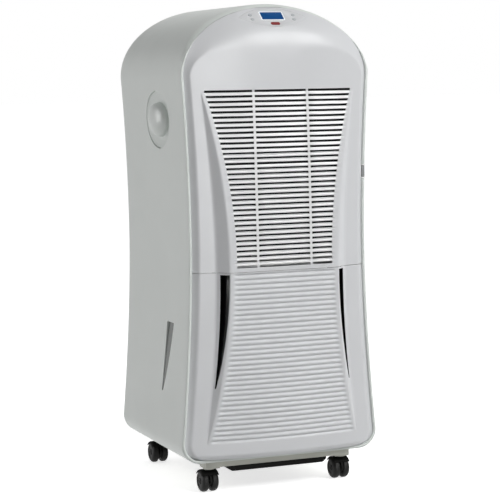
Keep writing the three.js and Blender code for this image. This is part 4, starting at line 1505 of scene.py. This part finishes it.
@dataclass
class Caster:
    """One twin-wheel caster.

    Attributes:
        place: Its place in words, as the CAD nodes name it.
        wheel_radius: Radius of a wheel.
        trail: How far the wheels' axis lies behind the stem's.
    """

    place: str
    wheel_radius: float = 0.016
    trail: float = 0.006

    def build(self, dresser: Dresser) -> None:
        """Builds and dresses the hood and both wheels.

        Args:
            dresser: Gives the finishes.
        """
        for mark, side in (("a", -1), ("b", 1)):
            self.build_wheel(dresser, mark, side)
        low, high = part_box(f"caster_hood_{self.place}")
        wheel_low, wheel_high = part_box(f"caster_wheel_{self.place}_b")
        axis = Vector(((low.x + high.x) / 2, (wheel_low.y + wheel_high.y) / 2, self.wheel_radius))
        half = (high.x - low.x) / 2
        seat = facing_x(axis.x, axis.y, axis.z)
        cover = self.fender(half, seat)
        steps, web_radius = 24, mm(16.8)
        web = [(web_radius * math.cos(math.pi * k / steps), web_radius * math.sin(math.pi * k / steps))
               for k in range(steps + 1)]
        cheek = prism("cheek", web + [(-mm(6), -mm(9)), (mm(6), -mm(9))], -mm(1.7), mm(1.7), seat)
        bevel(cheek, mm(0.4))
        pin_end = half - mm(0.6)
        pin = turned("pin", [(0, -pin_end), (mm(1.9), -pin_end), (mm(1.9), pin_end), (0, pin_end)], seat, 20)
        upright = Matrix.Translation((axis.x, axis.y - self.trail, 0))
        stem = [(0, mm(33)), (mm(6), mm(33)), (mm(6.5), mm(33.4)), (mm(6.5), mm(34.6)), (mm(6), mm(34.9)),
                (mm(3.9), mm(34.9)), (mm(3.9), mm(53)), (mm(3.2), mm(54)), (0, mm(54))]
        collar = turned("collar", stem, upright, 32)
        hood = merge(f"caster_frame_{self.place}", [cover, cheek, pin, collar])
        settle(hood)
        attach(hood, f"caster_{self.place}")
        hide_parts(f"caster_hood_{self.place}")
        dresser.dress(hood, "black_plastic")

    @staticmethod
    def fender(half: float, seat: Matrix) -> bpy.types.Object:
        """Sweeps the hood's curled section over the top of both wheels.

        Args:
            half: Half its width.
            seat: Frame of the axle: Z along it, Y up.

        Returns:
            The hood's cover.
        """
        outer = [(half, mm(15.2)), (half - mm(0.2), mm(16.1)), (half - mm(0.9), mm(17.0)),
                 (half - mm(2.2), mm(17.6)), (half - mm(4), mm(17.8))]
        inner = [(half - mm(4), mm(16.7)), (half - mm(2), mm(16.4)), (half - mm(1.2), mm(15.8)),
                 (half - mm(0.9), mm(15.2))]
        mirrored = [(-x, r) for x, r in (*reversed(outer), *reversed(inner))]
        section = outer + mirrored + inner
        start, end, steps = math.radians(38), math.radians(142), 30
        inner_face = mm(16.65)
        points, faces = [], []
        for k in range(steps + 1):
            turn = start + (end - start) * k / steps
            taper = 1 - 0.35 * smoothstep(1 - min(k, steps - k) / 4)
            for x, r in section:
                held = inner_face + (r - inner_face) * taper if r > inner_face else r
                points.append(seat @ Vector((held * math.cos(turn), held * math.sin(turn), x)))
        count = len(section)
        for k in range(steps):
            for i in range(count):
                a, b = k * count + i, k * count + (i + 1) % count
                faces.append([a, b, b + count, a + count])
        faces += [list(range(count)), list(range(steps * count, (steps + 1) * count))[::-1]]
        return from_faces("cover", points, faces)

    def build_wheel(self, dresser: Dresser, mark: str, side: int) -> None:
        """Builds one wheel with a rounded shoulder and a dished hub.

        Args:
            dresser: Gives the finishes.
            mark: The wheel's letter.
            side: -1 for the left wheel, 1 for the right.
        """
        node = f"caster_wheel_{self.place}_{mark}"
        low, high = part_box(node)
        width = high.x - low.x
        radius = self.wheel_radius
        inner_round, outer_round = mm(3.6), mm(5.6)
        profile = [(mm(2.3), 0.0), (radius - inner_round, 0.0)]
        for k in range(1, 7):
            turn = math.pi / 2 * k / 6
            profile.append((radius - inner_round * (1 - math.sin(turn)), mm(3.2) * (1 - math.cos(turn))))
        shoulder = width - outer_round
        for k in range(9):
            turn = math.pi / 2 * k / 8
            profile.append((radius - outer_round * (1 - math.cos(turn)), shoulder + mm(5.3) * math.sin(turn)))
        profile += [(mm(9.2), width - mm(0.1)), (mm(8.6), width - mm(1.1)), (mm(5.0), width - mm(1.4)),
                    (mm(4.4), width - mm(0.3)), (mm(2.9), width - mm(0.1)), (mm(2.3), width - mm(0.8))]
        inner = low.x if side > 0 else high.x
        seat = facing_x(inner, (low.y + high.y) / 2, radius, side)
        wheel = turned(f"wheel_{self.place}_{mark}", profile, seat, 64)
        settle(wheel, 40)
        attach(wheel, frame["nodes"][node]["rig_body"])
        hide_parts(node)
        dresser.dress(wheel, "wheel_black")


@dataclass
class Undercarriage:
    """Grey base frame, black pan and four casters.

    Attributes:
        frame_edge: Edge rounding of the base frame.
        pan_edge: Edge rounding of the pan.
    """

    frame_edge: float = 0.0012
    pan_edge: float = 0.003

    def build(self, dresser: Dresser) -> None:
        """Builds and dresses the base.

        Args:
            dresser: Gives the finishes.
        """
        trays = (("base_frame", "base_tray", self.frame_edge), ("base_pan", "base_belly", self.pan_edge))
        for node, name, width in trays:
            piece = softened(name, node, width, 3)
            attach(piece, "chassis")
            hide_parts(node)
            dresser.dress(piece, dresser.slots[node])
        for place in ("front_left", "front_right", "rear_left", "rear_right"):
            Caster(place).build(dresser)
        LOG.info("base and casters built")


# ------------------------------------------------------------------ rear, filter and bucket


@dataclass
class RearFittings:
    """Rear cover with its exhaust, screws, hose port and cord gland.

    Attributes:
        screw_radius: Radius of a screw's head.
        screw_inset: How far the screws stand in from the casing's sides.
        screw_heights: Heights of the screws up each side.
    """

    screw_radius: float = 0.0036
    screw_inset: float = 0.013
    screw_heights: tuple = (0.085, 0.300, 0.500)

    def build(self, dresser: Dresser, form: CasingForm) -> None:
        """Builds and dresses the rear.

        Args:
            dresser: Gives the finishes.
            form: The casing's outline.
        """
        cover = softened("rear_panel", "rear_cover", mm(0.5))
        settle(cover, 12)
        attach(cover, "chassis")
        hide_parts("rear_cover")
        dresser.dress(cover, "casing_white")
        face = form.rear - mm(1)
        for i, z in enumerate(self.screw_heights):
            for side in (-1, 1):
                x = side * (form.side_half(z) - self.screw_inset)
                self.screw(dresser, f"cover_screw_{i}_{'r' if side > 0 else 'l'}", x, face, z)
        self.screw(dresser, "cover_screw_top", 0.0, face, form.top - mm(17))
        fittings = {"hose_port": "hose_spigot", "hose_cap": "hose_plug", "cord_gland": "cord_bush"}
        for node, name in fittings.items():
            self.fitting(dresser, node, name)
        LOG.info("rear built")

    def screw(self, dresser: Dresser, name: str, x: float, y: float, z: float) -> None:
        """Builds one cross-head screw.

        Args:
            dresser: Gives the finishes.
            name: The screw's name.
            x: Its place across.
            y: Depth of the face it holds.
            z: Its height.
        """
        radius = self.screw_radius
        seat = Matrix.Translation((x, y, z)) @ Matrix.Rotation(math.radians(-90), 4, "X")
        head = turned("head", [(0, mm(0.05)), (radius, mm(0.05)), (radius, mm(0.7)), (radius * 0.8, mm(1.5)),
                               (radius * 0.4, mm(1.9)), (0, mm(2))], seat, 28)
        arm, half_slot = radius * 0.55, mm(0.35)
        cross = [prism("cut", rectangle(-arm, arm, -half_slot, half_slot), mm(1.0), mm(3), seat),
                 prism("cut", rectangle(-half_slot, half_slot, -arm, arm), mm(1.0), mm(3), seat)]
        carve(head, cross)
        head.name = name
        settle(head, 30)
        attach(head, "chassis")
        dresser.dress(head, "sheet_steel")

    @staticmethod
    def fitting(dresser: Dresser, node: str, name: str) -> None:
        """Builds one turned rear fitting with smooth, round edges.

        Args:
            dresser: Gives the finishes.
            node: The CAD node it stands for.
            name: The piece's name.
        """
        low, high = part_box(node)
        x, z = (low.x + high.x) / 2, (low.z + high.z) / 2
        seat = Matrix.Translation((x, low.y, z)) @ Matrix.Rotation(math.radians(-90), 4, "X")
        deep = high.y - low.y
        profiles = {
            "hose_port": [(mm(7.5), 0), (mm(10), 0), (mm(10), deep - mm(1.7)), (mm(14.5), deep - mm(1.7)),
                          (mm(14.5), deep), (mm(7.5), deep)],
            "hose_cap": [(0, 0), (mm(7), 0), (mm(7), mm(10.4)), (mm(12.5), mm(10.4)), (mm(12.5), deep),
                         (0, deep)],
            "cord_gland": [(mm(3.8), 0), (mm(6), 0), (mm(6), mm(13)), (mm(11.8), mm(13)), (mm(11.8), mm(16)),
                           (mm(8), deep), (mm(3.8), deep)],
        }
        profile = profiles[node]
        if profile[0][0] > 0:
            profile = rounded(profile, mm(0.5), 3)
        else:
            profile = [profile[0], *rounded(profile, mm(0.7), 3)[4:-4], profile[-1]]
        piece = turned(name, profile, seat, 56)
        settle(piece, 50)
        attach(piece, frame["nodes"][node]["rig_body"])
        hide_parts(node)
        dresser.dress(piece, dresser.slots[node])


@dataclass
class InnerParts:
    """Parts behind the covers whose edges are softened from their own shapes.

    Attributes:
        boxed: Node, new name and edge rounding of each plain part.
    """

    boxed: tuple = (("bucket_tank", "tank_tub", 0.0008), ("float", "float_block", 0.0012),
                    ("filter_frame", "filter_slide_frame", 0.0005), ("drip_tray", "drip_pan", 0.0005),
                    ("bay_partition", "bay_sheet", 0.0003), ("compressor_deck", "deck_sheet", 0.0005))

    def build(self, dresser: Dresser) -> None:
        """Builds and dresses the parts.

        Args:
            dresser: Gives the finishes.
        """
        for node, name, width in self.boxed:
            piece = softened(name, node, width)
            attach(piece, frame["nodes"][node]["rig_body"])
            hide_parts(node)
            dresser.dress(piece, dresser.slots[node])
            if node == "filter_frame":
                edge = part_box(node)[1].x - mm(14)
                dresser.tone(piece, "filter_net", lambda spot: spot.x < edge)
        self.compressor(dresser)
        LOG.info("inner parts built")

    @staticmethod
    def compressor(dresser: Dresser) -> None:
        """Builds the smooth welded can of the compressor on its foot plate.

        Args:
            dresser: Gives the finishes.
        """
        low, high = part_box("compressor")
        x, y = (low.x + high.x) / 2, (low.y + high.y) / 2
        tall = high.z - low.z
        seat = Matrix.Translation((x, y, low.z))
        can = [(0, mm(2)), (mm(44), mm(6)), (mm(48.5), mm(13)), (mm(50), mm(24)), (mm(50), mm(88)),
               (mm(50), mm(89)), (mm(49.2), mm(90)), (mm(49.2), mm(172)), (mm(46), mm(184)),
               (mm(38), mm(193)), (mm(22), tall - mm(1.5)), (0, tall)]
        body = turned("can", can, seat, 72)
        foot = rounded(rectangle(-mm(56), mm(56), -mm(52), mm(52)), mm(14), 8)
        plate = prism("plate", foot, mm(0.2), mm(3.6), seat)
        holes = []
        for px, py in ((-0.044, -0.040), (0.044, -0.040), (0.0, 0.042)):
            spot = seat @ Matrix.Translation((px, py, 0))
            holes.append(turned("cut", [(0, -0.01), (mm(5), -0.01), (mm(5), 0.02), (0, 0.02)], spot, 32))
        carve(plate, holes)
        bevel(plate, mm(0.6))
        piece = merge("compressor_can", [body, plate])
        settle(piece, 40)
        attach(piece, "chassis")
        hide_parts("compressor")
        dresser.dress(piece, "black_paint")


# ------------------------------------------------------------------ studio


@dataclass
class Studio:
    """Camera, floor and soft lights.

    Attributes:
        camera: Camera place.
        yaw: Heading to the right of straight ahead, in radians.
        pitch: Slope below level, in radians.
        roll: Turn about the line of sight, in radians.
        lens: Focal length, in millimetres on a 36 mm sensor.
        bright_way: Direction in which the surround is brightest.
        dim_side: Its brightness opposite to that.
        bright_side: Its brightness that way.
        below: Share of that brightness below the horizon.
        above: Share of it just above the bright band at the horizon.
        overhead: Share of it overhead.
        target: Where the softboxes point.
    """

    camera: tuple = (-1.0164, -2.5822, 0.6173)
    yaw: float = 0.3772
    pitch: float = 0.0968
    roll: float = -0.0161
    lens: float = 129.6
    bright_way: tuple = (0.45, 0.893, 0.0)
    dim_side: float = 0.32
    bright_side: float = 1.06
    below: float = 0.86
    above: float = 0.5
    overhead: float = 0.5
    target: tuple = (0.0, 0.0, 0.38)

    def build(self) -> None:
        """Sets up everything that isn't the object."""
        self.make_camera()
        self.make_floor()
        self.make_surround()
        self.make_softboxes()
        LOG.info("studio built")

    def make_camera(self) -> None:
        """Makes the camera."""
        data = bpy.data.cameras.new("camera")
        data.lens = self.lens
        data.sensor_width = 36.0
        data.clip_end = 100.0
        eye = bpy.data.objects.new("camera", data)
        bpy.context.scene.collection.objects.link(eye)
        ahead = Vector((math.sin(self.yaw) * math.cos(self.pitch), math.cos(self.yaw) * math.cos(self.pitch),
                        -math.sin(self.pitch)))
        right = Vector((math.cos(self.yaw), -math.sin(self.yaw), 0))
        up = right.cross(ahead)
        right_rolled = right * math.cos(self.roll) + up * math.sin(self.roll)
        up_rolled = up * math.cos(self.roll) - right * math.sin(self.roll)
        turn = Matrix((right_rolled, up_rolled, -ahead)).transposed()
        eye.matrix_world = Matrix.Translation(self.camera) @ turn.to_4x4()
        bpy.context.scene.camera = eye

    def make_floor(self) -> None:
        """Makes the pale floor."""
        reach = 40.0
        floor = from_faces("floor", [Vector((-reach, -reach, 0)), Vector((reach, -reach, 0)),
                                     Vector((reach, reach, 0)), Vector((-reach, reach, 0))], [[0, 1, 2, 3]])
        finish = Finish("pale_floor", (0.93, 0.93, 0.93), roughness=0.9, spread=0.02, mottle=0.0, wear=0.0,
                        relief=0.0, glow=0.75, specular=0.2)
        floor.data.materials.append(finish.build())
        floor.visible_diffuse = False

    def make_surround(self) -> None:
        """Makes the surround: bright behind, dim in front, and plain white to the camera."""
        world = bpy.data.worlds.new("surround")
        world.use_nodes = True
        bpy.context.scene.world = world
        nodes, links = world.node_tree.nodes, world.node_tree.links
        room = nodes["Background"]
        place = nodes.new("ShaderNodeTexCoord")
        along = nodes.new("ShaderNodeVectorMath")
        along.operation = "DOT_PRODUCT"
        along.inputs[1].default_value = self.bright_way
        links.new(place.outputs["Generated"], along.inputs[0])
        level = nodes.new("ShaderNodeMapRange")
        level.inputs["From Min"].default_value = -1.0
        level.inputs["To Min"].default_value = self.dim_side
        level.inputs["To Max"].default_value = self.bright_side
        links.new(along.outputs["Value"], level.inputs["Value"])
        split = nodes.new("ShaderNodeSeparateXYZ")
        links.new(place.outputs["Generated"], split.inputs["Vector"])
        fade = nodes.new("ShaderNodeFloatCurve")
        curve = fade.mapping.curves[0]
        curve.points[0].location = (0.0, self.below)
        curve.points[1].location = (1.0, self.overhead)
        for share, strength in ((0.46, self.below), (0.54, 1.0), (0.59, 1.0), (0.68, self.above)):
            curve.points.new(share, strength)
        fade.mapping.update()
        height = nodes.new("ShaderNodeMapRange")
        height.inputs["From Min"].default_value = -1.0
        links.new(split.outputs["Z"], height.inputs["Value"])
        links.new(height.outputs["Result"], fade.inputs["Value"])
        product = nodes.new("ShaderNodeMath")
        product.operation = "MULTIPLY"
        links.new(level.outputs["Result"], product.inputs[0])
        links.new(fade.outputs["Value"], product.inputs[1])
        links.new(product.outputs["Value"], room.inputs["Strength"])
        room.inputs["Color"].default_value = (1, 1, 1, 1)
        backdrop = nodes.new("ShaderNodeBackground")
        backdrop.inputs["Color"].default_value = (1, 1, 1, 1)
        path = nodes.new("ShaderNodeLightPath")
        choose = nodes.new("ShaderNodeMixShader")
        links.new(path.outputs["Is Camera Ray"], choose.inputs["Fac"])
        links.new(room.outputs["Background"], choose.inputs[1])
        links.new(backdrop.outputs["Background"], choose.inputs[2])
        links.new(choose.outputs["Shader"], nodes["World Output"].inputs["Surface"])
        bpy.context.scene.view_settings.view_transform = "Standard"

    def make_softboxes(self) -> None:
        """Makes the key light and two softboxes that only show as sheen."""
        self.softbox("key", (1.8, -2.6, 2.8), 1.5, 92.0)
        sheen = self.softbox("sheen", (-0.1, -3.4, 1.3), 1.4, 100.0)
        sheen.data.shape = "RECTANGLE"
        sheen.data.size_y = 3.2
        sheen.visible_diffuse = False
        edge = self.softbox("edge", (-2.9, 0.78, 1.0), 2.1, 90.0)
        edge.visible_diffuse = False

    def softbox(self, name: str, place: tuple, size: float, power: float) -> bpy.types.Object:
        """Adds one square softbox aimed at the middle of the machine.

        Args:
            name: The light's name.
            place: Where it stands.
            size: Its width.
            power: Its power, in watts.

        Returns:
            The light.
        """
        data = bpy.data.lights.new(name, "AREA")
        data.size = size
        data.energy = power
        light = bpy.data.objects.new(name, data)
        light.location = place
        aim = Vector(self.target) - Vector(place)
        light.rotation_euler = aim.to_track_quat("-Z", "Y").to_euler()
        bpy.context.scene.collection.objects.link(light)
        return light


def main() -> None:
    """Builds every sub-assembly in order."""
    logging.basicConfig(level=logging.INFO, format="%(name)s: %(message)s")
    Studio().build()
    dresser = Dresser()
    dresser.dress_nodes()
    form = CasingForm.from_frame()
    panel_low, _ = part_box("front_panel")
    front = FrontForm(form, seam=panel_low.z - mm(0.3))
    controls = ControlPanel()
    CasingShell(form, front).build(dresser)
    GrillePanel(front).build(dresser, controls)
    BucketFace(front).build(dresser)
    controls.build(dresser)
    Undercarriage().build(dresser)
    RearFittings().build(dresser, form)
    InnerParts().build(dresser)


if __name__ == "__main__":
    main()
